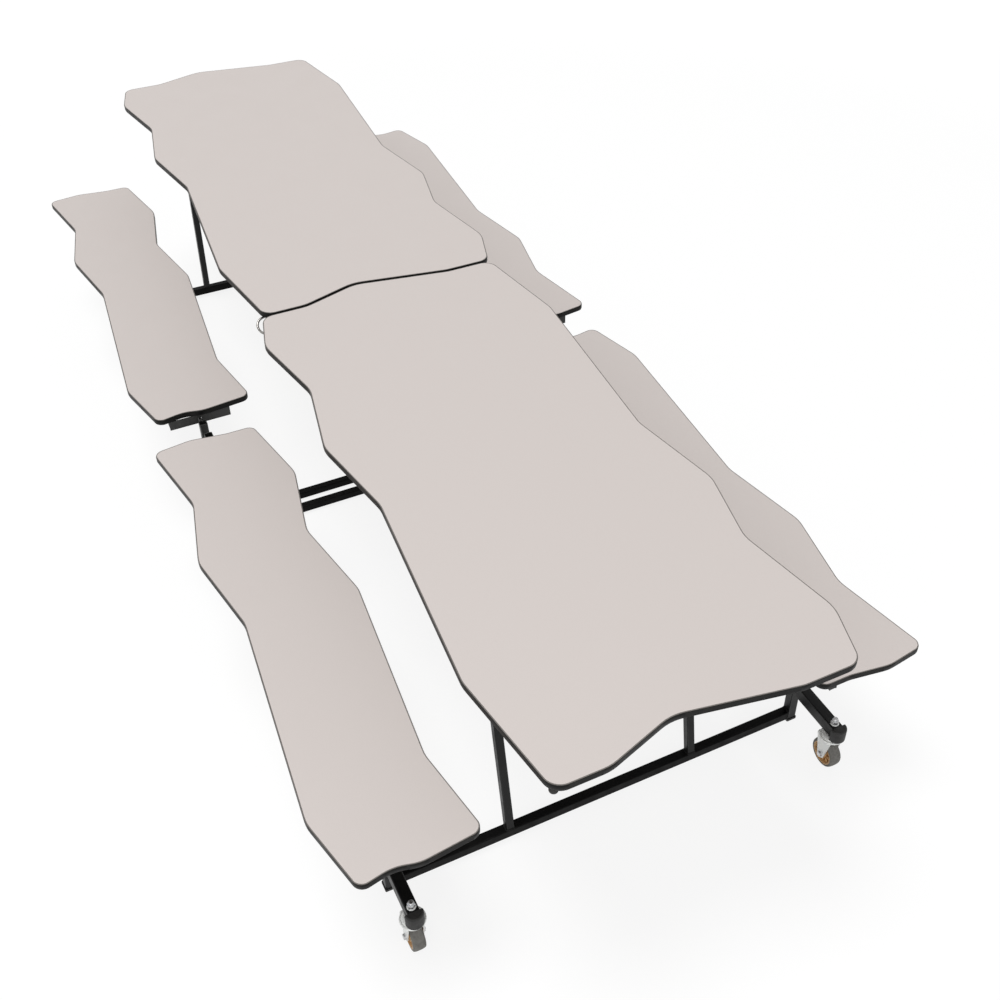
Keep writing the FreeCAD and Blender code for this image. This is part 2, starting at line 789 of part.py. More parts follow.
def make_end_frame(half):
    """Floor crossbar, table legs, bench posts, feet and caster arms of one end."""
    legs = []
    posts = []
    feet = []
    arms = []
    for side, hand in SIDES.items():
        rise = leg_pivot_z - end_bar_top
        leg = tube(f"end_leg_{side}_{half}", "Z", d.leg_width, d.leg_width, rise + d.eye_radius,
                   d.leg_lean / rise)
        pin_hole(leg, -d.leg_lean, rise)
        place(leg, d.end_frame_x, d.leg_y * hand, end_bar_top, half)
        legs.append(leg)
        foot_top = d.foot_bottom + d.foot_height
        posts += make_post("end", side, half, d.end_frame_x, d.end_tube, foot_top, bench_outer_x,
                           d.running_clearance)
        foot = plug(f"end_foot_{side}_{half}", d.end_tube, d.foot_height, d.foot_lip)
        place(foot, d.end_frame_x, d.bench_y * hand, d.foot_bottom, half)
        feet.append(foot)
        arms += make_arm(side, half)
    post_face = d.bench_y - d.end_tube / 2
    bar = tube(f"end_crossbar_{half}", "Y", d.end_tube, d.end_bar_height, post_face * 2)
    place(bar, d.end_frame_x, -post_face, d.end_bar_bottom + d.end_bar_height / 2, half)
    keep(bar, f"end_crossbar_{half}")
    group(f"end_legs_{half}", legs)
    group(f"end_posts_{half}", posts)
    group(f"end_feet_{half}", feet)
    group(f"caster_arms_{half}", arms)


def make_arm(side, half):
    """The arm that carries a caster out past the end frame, with its round plastic end cap."""
    hand = SIDES[side]
    start = d.end_frame_x + d.end_tube / 2
    cap_x = d.arm_end - d.arm_cap_radius
    arm = tube(f"arm_{side}_{half}", "X", d.arm_width, d.arm_height, cap_x - start)
    stem_hole = new_sketch(arm, "XY")
    add_circle(stem_hole, (d.stem_x - start, ZERO), d.stem_radius)
    pocket(arm, stem_hole, d.arm_height * 2, symmetric=True)
    place(arm, start, d.bench_y * hand, d.arm_bottom + d.arm_height / 2, half)
    cap = new_body(f"arm_cap_{side}_{half}")
    sketch = new_sketch(cap, "XY")
    half_round(sketch, d.arm_cap_radius)
    pad(cap, sketch, d.arm_height)
    place(cap, cap_x, d.bench_y * hand, d.arm_bottom, half)
    return [arm, cap]


def make_inner_frame(half):
    """Floor crossbar, table legs, bench posts and glides of the frame beside the middle."""
    legs = []
    posts = []
    glides = []
    for side, hand in SIDES.items():
        rise = leg_pivot_z - inner_bar_top
        leg = tube(f"inner_leg_{side}_{half}", "Z", d.inner_tube, d.leg_width, rise + d.eye_radius)
        pin_hole(leg, ZERO, rise)
        place(leg, d.inner_frame_x, d.inner_leg_y * hand, inner_bar_top, half)
        legs.append(leg)
        posts += make_post("inner", side, half, d.inner_frame_x, d.inner_tube, d.inner_bar_bottom,
                           bench_inner_x, d.open_pivot_clearance)
        glide = new_body(f"inner_glide_{side}_{half}")
        sketch = new_sketch(glide, "XY")
        add_circle(sketch, (ZERO, ZERO), d.glide_radius)
        pad(glide, sketch, d.inner_bar_bottom)
        place(glide, d.inner_frame_x, (d.bench_y - d.glide_inset) * hand, ZERO, half)
        glides.append(glide)
    post_face = d.bench_y - d.inner_tube / 2
    bar = tube(f"inner_crossbar_{half}", "Y", d.inner_tube, d.inner_tube, post_face * 2)
    place(bar, d.inner_frame_x, -post_face, d.inner_bar_bottom + d.inner_tube / 2, half)
    keep(bar, f"inner_crossbar_{half}")
    group(f"inner_legs_{half}", legs)
    group(f"inner_posts_{half}", posts)
    group(f"inner_glides_{half}", glides)


# ---------------------------------------------------------------- benches
def bench_angle(name):
    """Steel angle between the rails of a bench, with the two lugs of a pivot.

    The pin is at the origin, along Y. The angle stands on the side of it that is away from the post.
    """
    body = new_body(name)
    top = d.bench_pivot_drop
    half = d.bench_rail_y - d.bench_rail_width / 2
    upright = new_sketch(body, "YZ", d.angle_offset)
    add_rectangle(upright, (-half, top - d.angle_depth), (half, top))
    pad(body, upright, d.angle_thickness)
    flange = new_sketch(body, "XY", top - d.angle_thickness)
    far = d.angle_offset + d.angle_thickness
    add_rectangle(flange, (far - d.angle_reach, -half), (far, half))
    pad(body, flange, d.angle_thickness)
    lug = new_sketch(body, "XZ")
    add_teardrop(lug, (-d.bench_eye_radius, top), (d.angle_offset, top), (ZERO, ZERO),
                 d.bench_eye_radius)
    pad(body, lug, bench_lug_outside * 2, symmetric=True)
    slot = new_sketch(body, "XZ")
    add_rectangle(slot, (-d.angle_reach, top - d.angle_depth - d.bench_eye_radius),
                  (d.angle_offset, d.bench_eye_radius + 2 * d.side_gap))
    pocket(body, slot, bench_lug_inside * 2, symmetric=True)
    bore = new_sketch(body, "XZ")
    add_circle(bore, (ZERO, ZERO), d.bench_pin_radius)
    pocket(body, bore, bench_lug_outside * 4, symmetric=True)
    return body


def end_angle(name):
    """Steel angle across the inner ends of a bench's rails, slotted for the ear of the inner post.

    Its origin is at the ends of the rails, at the height of the bench pivots.
    """
    body = new_body(name)
    top = d.bench_pivot_drop
    half = d.bench_rail_y + d.bench_rail_width / 2
    upright = new_sketch(body, "YZ")
    add_rectangle(upright, (-half, top - d.angle_depth), (half, top))
    pad(body, upright, d.angle_thickness, reverse=True)
    slot = new_sketch(body, "XZ")
    add_rectangle(slot, (-d.angle_reach, -d.angle_depth),
                  (d.angle_reach, d.bench_eye_radius + 2 * d.side_gap))
    pocket(body, slot, bench_lug_inside * 2, symmetric=True)
    return body


def make_bench_frame(side, half):
    """The welded frame under one bench: two rails and three angles, with the two pivot pins."""
    hand = drawn_hand(side, half)
    name = f"bench_{side}_{half}"
    members = []
    for number, offset in enumerate((-1, 1), start=1):
        rail = channel(f"{name}_rail_{number}", d.bench_rail_width, d.bench_rail_depth,
                       bench_rail_end - bench_rail_start)
        place(rail, bench_rail_start, d.bench_y * hand + d.bench_rail_y * offset, bench_bottom, half)
        members.append(rail)
    ending = end_angle(f"{name}_angle_end")
    place(ending, bench_rail_start, d.bench_y * hand, bench_pivot_z, half)
    members.append(ending)
    for spot, x in (("inner", bench_inner_x), ("outer", bench_outer_x)):
        angle = bench_angle(f"{name}_angle_{spot}")
        pin = headed_pin(f"{name}_pin_{spot}", d.bench_pin_radius,
                         d.bench_pin_radius + d.bench_pin_head_lip, bench_lug_outside, d.pin_head)
        for thing in (angle, pin):
            place(thing, x, d.bench_y * hand, bench_pivot_z, half)
            members.append(thing)
    group(f"{name}_frame", members)


# ---------------------------------------------------------------- casters
def revolve(name, outline, plane="XZ"):
    """A solid of revolution about the Z axis, or about Y when drawn on the XY plane."""
    body = new_body(name)
    sketch = new_sketch(body, plane)
    add_polygon(sketch, outline)
    turned = body.newObject("PartDesign::Revolution", f"{name}_revolution")
    turned.Profile = sketch
    turned.ReferenceAxis = (sketch, ["V_Axis"])
    turned.Angle = 360
    return body


def make_caster_stem(side, half):
    """Stem bolt through the arm: nut and washer on top, swivel race below."""
    top = d.arm_height
    washer_top = top + d.washer_height
    nut_top = washer_top + d.nut_height
    stem = revolve(f"caster_stem_{side}_{half}", [
        (ZERO, -d.race_height), (d.race_radius, -d.race_height), (d.race_radius, ZERO),
        (d.stem_radius, ZERO), (d.stem_radius, top), (d.washer_radius, top),
        (d.washer_radius, washer_top), (d.nut_radius, washer_top), (d.nut_radius, nut_top),
        (d.stem_radius, nut_top), (d.stem_radius, nut_top + d.stem_proud),
        (ZERO, nut_top + d.stem_proud),
    ])
    place(stem, d.stem_x, d.bench_y * drawn_hand(side, half), d.arm_bottom, half)
    return stem


def make_fork(side, half):
    """Fork under the race: a crown disc on a bent yoke with two cheeks, and the axle bolt."""
    name = f"caster_fork_{side}_{half}"
    y = d.bench_y * drawn_hand(side, half)
    yoke_top = race_bottom - d.side_gap / 4 - d.crown_height
    body = new_body(f"{name}_yoke")
    cheeks = new_sketch(body, "XZ")
    add_teardrop(cheeks, (-d.cheek_back, yoke_top), (d.cheek_front, yoke_top),
                 (-d.trail, d.wheel_radius), d.eye_radius)
    yoke = pad(body, cheeks, fork_outside * 2, symmetric=True)
    doc.recompute()
    bends = [(fork_outside.value * way, yoke_top.value) for way in (-1, 1)]
    fillet(body, yoke, edges_at(yoke.Shape, bends, "x"), d.fork_bend)
    slot = new_sketch(body, "XZ")
    reach = d.wheel_radius * 3
    yoke_under = yoke_top - d.fork_plate
    add_rectangle(slot, (-reach, ZERO), (reach, yoke_under))
    hollow = pocket(body, slot, fork_inside * 2, symmetric=True)
    doc.recompute()
    bends = [(fork_inside.value * way, yoke_under.value) for way in (-1, 1)]
    fillet(body, hollow, edges_at(hollow.Shape, bends, "x"), d.fork_bend - d.fork_plate)
    crown = new_sketch(body, "XY", yoke_top)
    add_circle(crown, (ZERO, ZERO), d.race_radius)
    pad(body, crown, d.crown_height)
    bore = new_sketch(body, "XZ")
    add_circle(bore, (-d.trail, d.wheel_radius), d.axle_radius)
    pocket(body, bore, fork_outside * 4, symmetric=True)
    place(body, d.stem_x, y, ZERO, half)
    axle = headed_pin(f"{name}_axle", d.axle_radius, d.axle_head_radius, fork_outside,
                      d.axle_head_height)
    place(axle, axle_x, y, d.wheel_radius, half)
    group(name, [body, axle])


def make_wheel(side, half):
    """Wheel core with a hub and a thin web, and the tyre round it."""
    rim = d.wheel_radius - d.tyre_thickness
    width = d.wheel_width / 2
    hub = width + d.side_gap
    web = d.web_thickness / 2
    bore = d.axle_radius + d.running_clearance
    core = revolve(f"caster_core_{side}_{half}", [
        (bore, -hub), (d.hub_radius, -hub), (d.hub_radius, -web), (rim - 5, -web),
        (rim - 3, -width), (rim, -width), (rim, width), (rim - 3, width), (rim - 5, web),
        (d.hub_radius, web), (d.hub_radius, hub), (bore, hub),
    ], "XY")
    shoulder = d.tyre_thickness / 2
    tyre = revolve(f"caster_tyre_{side}_{half}", [
        (rim, -width), (rim + shoulder, -width), (d.wheel_radius - 1, -width * 0.6),
        (d.wheel_radius, -width * 0.3), (d.wheel_radius, width * 0.3),
        (d.wheel_radius - 1, width * 0.6), (rim + shoulder, width), (rim, width),
    ], "XY")
    for thing in (core, tyre):
        place(thing, axle_x, d.bench_y * drawn_hand(side, half), d.wheel_radius, half)
        keep(thing, thing.Label)


# ---------------------------------------------------------------- the whole table
make_boards()
for half_name in HALVES:
    make_top_rails(half_name)
    make_clevises(half_name)
    make_hinge(half_name)
    make_bumper(half_name)
    make_end_frame(half_name)
    make_inner_frame(half_name)
    for side_name in SIDES:
        make_bench_frame(side_name, half_name)
        make_fork(side_name, half_name)
        make_wheel(side_name, half_name)
    group(f"caster_stems_{half_name}", [make_caster_stem(side, half_name) for side in SIDES])
make_torsion_bar()
make_lock()
doc.recompute()

for item in doc.Objects:
    if "Invalid" in item.State or "Error" in item.State:
        raise RuntimeError(f"{item.Name} failed: {item.State}")
for node in nodes:
    if node.Shape.isNull() or not node.Shape.isValid():
        raise RuntimeError(f"{node.Label} has no valid shape")

os.makedirs("parts", exist_ok=True)
for node in nodes:
    node.Shape.exportStep(f"parts/{node.Label}.step")
print(len(nodes), "nodes written")
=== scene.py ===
"""Looks of the folding cafeteria table: finishes, small hardware, floor, light and camera.

Everything is in metres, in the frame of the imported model: +X along the table towards half "a",
+Y towards the right-hand benches, +Z up, with the floor at z = 0. Hardware is placed as on half
"a", and on half "b" it is turned half round about the vertical.
"""

import json
import math
from collections import namedtuple

import bmesh
import bpy
from mathutils import Euler, Matrix, Vector


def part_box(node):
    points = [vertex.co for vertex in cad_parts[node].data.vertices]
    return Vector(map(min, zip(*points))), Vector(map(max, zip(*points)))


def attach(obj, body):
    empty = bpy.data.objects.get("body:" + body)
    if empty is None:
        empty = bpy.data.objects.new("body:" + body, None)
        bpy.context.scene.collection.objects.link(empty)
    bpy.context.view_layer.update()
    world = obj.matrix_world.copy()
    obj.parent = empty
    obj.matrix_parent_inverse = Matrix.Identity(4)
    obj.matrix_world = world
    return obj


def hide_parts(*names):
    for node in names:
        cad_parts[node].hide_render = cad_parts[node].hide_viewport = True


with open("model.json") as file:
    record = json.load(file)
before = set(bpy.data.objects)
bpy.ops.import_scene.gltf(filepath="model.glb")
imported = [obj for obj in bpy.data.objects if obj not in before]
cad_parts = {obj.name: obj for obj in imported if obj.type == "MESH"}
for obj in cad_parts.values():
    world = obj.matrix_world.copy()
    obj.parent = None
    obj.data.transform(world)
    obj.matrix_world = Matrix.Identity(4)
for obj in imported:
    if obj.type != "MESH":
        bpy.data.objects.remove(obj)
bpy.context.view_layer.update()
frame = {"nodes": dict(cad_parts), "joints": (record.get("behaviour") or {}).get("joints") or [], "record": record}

MM = 0.001
HALVES = {"a": 1, "b": -1}                  # which way each lies along X
SIDES = {"left": -1, "right": 1}            # which way each lies along Y
FRAME_KINDS = ("end", "inner")

# ---------------------------------------------------------------- colours, as linear values
LAMINATE = (0.652, 0.597, 0.571)
LAMINATE_FLECK = (0.60, 0.546, 0.520)
BACKER = (0.30, 0.265, 0.235)
BAND_BLACK = (0.005, 0.005, 0.005)
BAND_DUST = (0.014, 0.013, 0.011)
# painted highlight on the band's upward lip, partly rubbed wear
BAND_LIP_HIGHLIGHT = (0.24, 0.222, 0.206)
COAT_BLACK = (0.004, 0.004, 0.004)
COAT_WORN = (0.012, 0.012, 0.0115)
COAT_SHADED = (0.0025, 0.0025, 0.0025)        # painted shade: this and the next are darker copies of the black coat, for the crossbars
COAT_SHADED_WORN = (0.008, 0.008, 0.0075)
COAT_LIT = (0.021, 0.021, 0.020)         # painted light: this and the next are paler copies of the black coat, on inner posts and bench frames
COAT_LIT_WORN = (0.046, 0.045, 0.042)
PLASTIC_BLACK = (0.017, 0.0165, 0.016)
STEEL_DARK = (0.030, 0.030, 0.029)
STEEL_DARK_WORN = (0.07, 0.07, 0.067)
ZINC = (0.96, 0.965, 0.94)
ZINC_SPANGLE = (0.88, 0.90, 0.89)
STEEL_NUT = (0.62, 0.62, 0.63)
WIRE_BRIGHT = (0.30, 0.29, 0.275)
WIRE_DULL = (0.10, 0.095, 0.09)
NYLON_WHITE = (0.75, 0.76, 0.77)
NYLON_TAN = (0.64, 0.38, 0.16)
NYLON_TAN_DARK = (0.46, 0.26, 0.10)
TREAD_GREY = (0.225, 0.218, 0.202)
TREAD_DUST = (0.15, 0.144, 0.133)


def shaded(color, amount):
    """The colour, darker or paler by a factor."""
    return tuple(amount * value for value in color)


# ---------------------------------------------------------------- places, from the frame at rest
# The points about which the joints turn.
PIVOTS = {joint["name"]: joint["pos_m"] for joint in frame["joints"] if "pos_m" in joint}


def span(node, axis):
    """Lowest and highest place of a CAD node along the axis x, y or z."""
    index = "xyz".index(axis)
    return [corner[index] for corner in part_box(node)]


# A pair of equal channels under a board, from start to end along X; offset is from the middle of
# the board to the middle of a channel, and under is the underside of the board.
Rail = namedtuple("Rail", "start end offset width depth under")

STEM_X, BENCH_Y, RACE_BOTTOM = PIVOTS["swivel_right_a"]
AXLE_X, _, WHEEL_RADIUS = PIVOTS["roll_right_a"]
ARM_BOTTOM, ARM_TOP = span("caster_arms_a", "z")
LEG_WIDTH = 22 * MM
LEG_Y = {kind: span(f"{kind}_legs_a", "y")[1] - LEG_WIDTH / 2 for kind in FRAME_KINDS}
TOP_RAIL_WIDTH, BENCH_RAIL_WIDTH = 30 * MM, 20 * MM
TOP_RAIL = Rail(
    *span("top_rails_a", "x"),
    offset=span("top_rails_a", "y")[1] - TOP_RAIL_WIDTH / 2,
    width=TOP_RAIL_WIDTH,
    depth=12 * MM,
    under=span("top_a_board", "z")[0],
)
BENCH_RAIL = Rail(
    start=75 * MM,
    end=span("bench_right_a_frame", "x")[1],
    offset=span("bench_right_a_frame", "y")[1] - BENCH_Y - BENCH_RAIL_WIDTH / 2,
    width=BENCH_RAIL_WIDTH,
    depth=22 * MM,
    under=span("bench_right_a_board", "z")[0],
)


# ---------------------------------------------------------------- node trees
# The colour sockets of a Mix node, whose names its sockets for other types share.
MIX_FIRST, MIX_SECOND, MIX_RESULT = 6, 7, 2


class Tree:
    """The nodes of a material or of the world, and short ways to add and wire them."""

    def __init__(self, owner):
        owner.use_nodes = True
        self.nodes = owner.node_tree.nodes
        self.links = owner.node_tree.links

    def link(self, output, target):
        self.links.new(output, target)

    def map_range(self, value, source, target, smooth=False):
        """The value, brought from the range source to the range target."""
        node = self.nodes.new("ShaderNodeMapRange")
        if smooth:
            node.interpolation_type = "SMOOTHSTEP"
        node.inputs["From Min"].default_value, node.inputs["From Max"].default_value = source
        node.inputs["To Min"].default_value, node.inputs["To Max"].default_value = target
        self.link(value, node.inputs["Value"])
        return node.outputs["Result"]

    def arithmetic(self, operation, first, second):
        """An arithmetic node; first is an output, and second an output or a number."""
        node = self.nodes.new("ShaderNodeMath")
        node.operation = operation
        self.link(first, node.inputs[0])
        if isinstance(second, (int, float)):
            node.inputs[1].default_value = second
        else:
            self.link(second, node.inputs[1])
        return node.outputs[0]

    def seen_directly(self):
        """1 for camera, glossy and transmission rays, 0 for the light that falls on the object."""
        path = self.nodes.new("ShaderNodeLightPath")
        seen = path.outputs["Is Camera Ray"]
        for ray in ("Is Glossy Ray", "Is Transmission Ray"):
            seen = self.arithmetic("MAXIMUM", seen, path.outputs[ray])
        return seen


# ---------------------------------------------------------------- materials
class Shader(Tree):
    """A material in the making: its shader node, and the patterns that vary it."""

    def __init__(self, name, color, roughness, metallic=0.0, specular=0.5):
        self.material = bpy.data.materials.new(name)
        super().__init__(self.material)
        self.shader = self.nodes["Principled BSDF"]
        self.shader.inputs["Base Color"].default_value = (*color, 1)
        self.shader.inputs["Roughness"].default_value = roughness
        self.shader.inputs["Metallic"].default_value = metallic
        self.shader.inputs["Specular IOR Level"].default_value = specular
        self.coordinates = self.nodes.new("ShaderNodeTexCoord")

    def noise(self, scale, detail, roughness=0.5, stretch=None):
        """Noise over the surface, scale in features per metre, with stretch along X, Y and Z."""
        texture = self.nodes.new("ShaderNodeTexNoise")
        texture.inputs["Scale"].default_value = scale
        texture.inputs["Detail"].default_value = detail
        texture.inputs["Roughness"].default_value = roughness
        place = self.coordinates.outputs["Object"]
        if stretch:
            mapping = self.nodes.new("ShaderNodeMapping")
            mapping.inputs["Scale"].default_value = stretch
            self.link(place, mapping.inputs["Vector"])
            place = mapping.outputs["Vector"]
        self.link(place, texture.inputs["Vector"])
        return texture.outputs["Fac"]

    def cells(self, scale):
        """A random shade for each cell of a Voronoi pattern, scale in cells per metre."""
        texture = self.nodes.new("ShaderNodeTexVoronoi")
        texture.inputs["Scale"].default_value = scale
        self.link(self.coordinates.outputs["Object"], texture.inputs["Vector"])
        grey = self.nodes.new("ShaderNodeRGBToBW")
        self.link(texture.outputs["Color"], grey.inputs["Color"])
        return grey.outputs["Val"]

    def between(self, factor, low, high, first, second):
        """Colour that goes from first to second as factor goes from low to high."""
        ramp = self.nodes.new("ShaderNodeValToRGB")
        stops = ramp.color_ramp.elements
        stops[0].position, stops[1].position = low, high
        stops[0].color, stops[1].color = (*first, 1), (*second, 1)
        self.link(factor, ramp.inputs["Fac"])
        return ramp.outputs["Color"]

    def spread(self, factor, low, high):
        """The factor, brought from its usual 0.3 to 0.7 into low to high."""
        return self.map_range(factor, (0.3, 0.7), (low, high))

    def upward(self):
        """How far the surface looks up in the object's own frame, from -1 to 1."""
        split = self.nodes.new("ShaderNodeSeparateXYZ")
        self.link(self.coordinates.outputs["Normal"], split.inputs["Vector"])
        return split.outputs["Z"]

    def plain(self, color):
        """A constant colour as an output, to mix with others."""
        node = self.nodes.new("ShaderNodeRGB")
        node.outputs[0].default_value = (*color, 1)
        return node.outputs[0]

    def mix(self, factor, first, second):
        """Colour that is first where factor is 0 and second where it is 1."""
        node = self.nodes.new("ShaderNodeMix")
        node.data_type = "RGBA"
        self.link(factor, node.inputs["Factor"])
        self.link(first, node.inputs[MIX_FIRST])
        self.link(second, node.inputs[MIX_SECOND])
        return node.outputs[MIX_RESULT]

    def color(self, output):
        self.link(output, self.shader.inputs["Base Color"])

    def roughness(self, output):
        self.link(output, self.shader.inputs["Roughness"])

    def bump(self, *heights):
        """Heights are (factor, strength, depth in metres), from the coarsest to the finest."""
        normal = None
        for factor, strength, depth in heights:
            node = self.nodes.new("ShaderNodeBump")
            node.inputs["Strength"].default_value = strength
            node.inputs["Distance"].default_value = depth
            self.link(factor, node.inputs["Height"])
            if normal:
                self.link(normal, node.inputs["Normal"])
            normal = node.outputs["Normal"]
        self.link(normal, self.shader.inputs["Normal"])


def laminate():
    """Matte laminate, an even warm grey with a fine grain, over a plain dark backer sheet."""
    look = Shader("laminate", LAMINATE, roughness=0.5, specular=0.3)
    cloud = look.noise(9, detail=4)
    grain = look.noise(520, detail=3, roughness=0.7)
    fibres = look.noise(70, detail=5, roughness=0.6, stretch=(0.2, 1, 1))
    face = look.between(grain, 0.28, 0.44, LAMINATE_FLECK, LAMINATE)
    back = look.between(fibres, 0.3, 0.7, shaded(BACKER, 0.8), BACKER)
    underneath = look.arithmetic("LESS_THAN", look.upward(), -0.5)
    look.color(look.mix(underneath, face, back))
    look.roughness(look.spread(cloud, 0.46, 0.56))
    look.bump((cloud, 0.05, 0.4 * MM), (look.noise(1400, detail=2), 0.10, 0.05 * MM))
    return look.material


def edge_band():
    """Vinyl edge band: black, softly glossy, lined along the edge; its lip pale with painted highlight and wear.
    """
    look = Shader("edge_band", BAND_BLACK, roughness=0.45, specular=0.12)
    side = look.between(look.noise(40, detail=4), 0.4, 0.8, BAND_BLACK, BAND_DUST)
    # painted highlight, partly rubbed wear: faces that look up are paled to the lip colour
    lip = look.map_range(look.upward(), (0.45, 0.95), (0, 1), smooth=True)
    look.color(look.mix(lip, side, look.plain(BAND_LIP_HIGHLIGHT)))
    look.roughness(look.spread(look.noise(25, detail=3), 0.36, 0.5))
    lines = look.noise(60, detail=2, roughness=0.6, stretch=(1, 1, 30))
    look.bump((lines, 0.12, 0.08 * MM))
    return look.material


def powder_coat(name, color, worn, roughness, specular):
    """Powder coat with its fine orange peel, paler where it is rubbed."""
    look = Shader(name, color, roughness, specular=specular)
    look.color(look.between(look.noise(18, detail=5, roughness=0.65), 0.5, 0.85, color, worn))
    look.roughness(look.spread(look.noise(35, detail=3), roughness - 0.06, roughness + 0.1))
    look.bump((look.noise(750, detail=2), 0.16, 0.09 * MM),
              (look.noise(2600, detail=1), 0.08, 0.03 * MM))
    return look.material


def moulded_plastic(name, color, roughness):
    """Moulded plastic with a fine spark-eroded grain."""
    look = Shader(name, color, roughness, specular=0.35)
    look.color(look.between(look.noise(60, detail=4), 0.35, 0.75, color, shaded(color, 1.7)))
    look.roughness(look.spread(look.noise(90, detail=2), roughness - 0.06, roughness + 0.08))
    look.bump((look.cells(2400), 0.12, 0.05 * MM))
    return look.material


def zinc():
    """Bright zinc plate with a faint spangle and brushed handling marks."""
    look = Shader("zinc", ZINC, roughness=0.36, metallic=0.2)
    look.color(look.between(look.cells(260), 0.1, 0.9, ZINC_SPANGLE, ZINC))
    look.roughness(look.spread(look.noise(120, detail=4), 0.28, 0.46))
    look.bump((look.noise(500, detail=2, stretch=(1, 1, 0.1)), 0.06, 0.05 * MM))
    return look.material


def nut_steel():
    """Plated steel of nuts and bolts, turned, so with fine rings."""
    look = Shader("nut_steel", STEEL_NUT, roughness=0.3, metallic=1.0)
    stain = look.noise(300, detail=3)
    look.color(look.between(stain, 0.3, 0.7, shaded(STEEL_NUT, 0.75), STEEL_NUT))
    look.roughness(look.spread(look.noise(400, detail=3), 0.22, 0.4))
    look.bump((look.noise(900, detail=1, stretch=(0.2, 0.2, 1)), 0.08, 0.04 * MM))
    return look.material


def bright_wire():
    """Chromed wire, dulled here and there by handling."""
    look = Shader("bright_wire", WIRE_BRIGHT, roughness=0.16, metallic=1.0)
    look.color(look.between(look.noise(140, detail=4), 0.35, 0.6, WIRE_DULL, WIRE_BRIGHT))
    look.roughness(look.spread(look.noise(90, detail=3), 0.1, 0.3))
    look.bump((look.noise(600, detail=2), 0.05, 0.03 * MM))
    return look.material


def moulded_nylon(name, color, dark):
    """Moulded nylon, a little translucent, darker in its mould marks."""
    look = Shader(name, color, roughness=0.42)
    look.shader.inputs["Subsurface Weight"].default_value = 0.15
    look.shader.inputs["Subsurface Radius"].default_value = (4 * MM, 2 * MM, 1 * MM)
    look.color(look.between(look.noise(70, detail=4), 0.3, 0.62, dark, color))
    look.roughness(look.spread(look.noise(150, detail=2), 0.36, 0.5))
    look.bump((look.noise(1500, detail=2), 0.08, 0.04 * MM))
    return look.material


def tread_rubber():
    """Grey non-marking tread with dust in its pores."""
    look = Shader("tread", TREAD_GREY, roughness=0.62, specular=0.3)
    pores = look.noise(90, detail=5, roughness=0.7)
    look.color(look.between(pores, 0.3, 0.6, TREAD_DUST, TREAD_GREY))
    look.roughness(look.spread(look.noise(60, detail=3), 0.55, 0.75))
    look.bump((look.noise(1100, detail=3), 0.15, 0.08 * MM))
    return look.material


def make_materials():
    """Materials of the record's slots, the painted-shade and painted-light black paints, small hardware."""
    return {
        "laminate": laminate(),
        "edge_band": edge_band(),
        "black_paint": powder_coat("black_paint", COAT_BLACK, COAT_WORN,
                                   roughness=0.4, specular=0.2),
        # a darker copy of the black paint: painted shade on the crossbars
        "shaded_paint": powder_coat("shaded_paint", COAT_SHADED, COAT_SHADED_WORN,
                                  roughness=0.5, specular=0.08),
        # a paler copy of the black paint: painted light on the inner posts and bench frames
        "lit_paint": powder_coat("lit_paint", COAT_LIT, COAT_LIT_WORN,
                                    roughness=0.45, specular=0.45),
        "dark_steel": powder_coat("dark_steel", STEEL_DARK, STEEL_DARK_WORN,
                                  roughness=0.45, specular=0.4),
        "black_plastic": moulded_plastic("black_plastic", PLASTIC_BLACK, roughness=0.55),
        "zinc": zinc(),
        "wheel_core": moulded_nylon("wheel_core", NYLON_TAN, NYLON_TAN_DARK),
        "tread": tread_rubber(),
        "nut_steel": nut_steel(),
        "bright_wire": bright_wire(),
        "nylon_collar": moulded_nylon("nylon_collar", NYLON_WHITE, shaded(NYLON_WHITE, 0.8)),
    }


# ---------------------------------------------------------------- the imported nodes
EDGE_ROUNDING = {"edge_band": 2.2 * MM, "black_plastic": 0.8 * MM, "zinc": 0.5 * MM}
USUAL_ROUNDING = 0.4 * MM
ROUNDED_ABOVE = 35          # degrees between faces
ROUNDING_STEPS = 2
WELD_DISTANCE = 0.01 * MM


def round_edges(thing, width):
    """Round the sharp edges, as a modifier."""
    bevel = thing.modifiers.new("rounding", "BEVEL")
    bevel.width = width
    bevel.segments = ROUNDING_STEPS
    bevel.limit_method = "ANGLE"
    bevel.angle_limit = math.radians(ROUNDED_ABOVE)
    bevel.harden_normals = True


def paint_of(node):
    """The copy of the black paint with painted shade or painted light that a frame node has, if any."""
    if "crossbar" in node:
        # painted shade: the crossbars get a darker copy of the coat
        return "shaded_paint"
    if node.startswith("inner_posts") or (node.startswith("bench_") and node.endswith("_frame")):
        # painted light: the inner posts and bench frames get a paler copy of the coat
        return "lit_paint"
    return None


def dress_nodes(materials):
    """Give each CAD node the material of its slot, close its seams and round its edges.

    The boards stay sharp, because their bands cover their edges.
    """
    for part in frame["record"]["subparts"]:
        node, slot_name = part["node"], part["material_slot"]
        thing = frame["nodes"][node]
        material = materials[paint_of(node) or slot_name]
        if not thing.data.materials:
            thing.data.materials.append(material)
        for slot in thing.material_slots:
            slot.material = material
        if not node.endswith("_board"):
            weld_modifier = thing.modifiers.new("weld", "WELD")
            weld_modifier.merge_threshold = WELD_DISTANCE
            round_edges(thing, EDGE_ROUNDING.get(slot_name, USUAL_ROUNDING))


# ---------------------------------------------------------------- places and mesh tools
Nut = namedtuple("Nut", "apothem height chamfer")         # in millimetres
THREAD_PITCH = 1.5                                        # in millimetres
ALONG_Y = Matrix.Rotation(math.radians(-90), 4, "X")      # takes the lathe's Z axis to +Y
DOWNWARDS = Matrix.Rotation(math.pi, 4, "X")
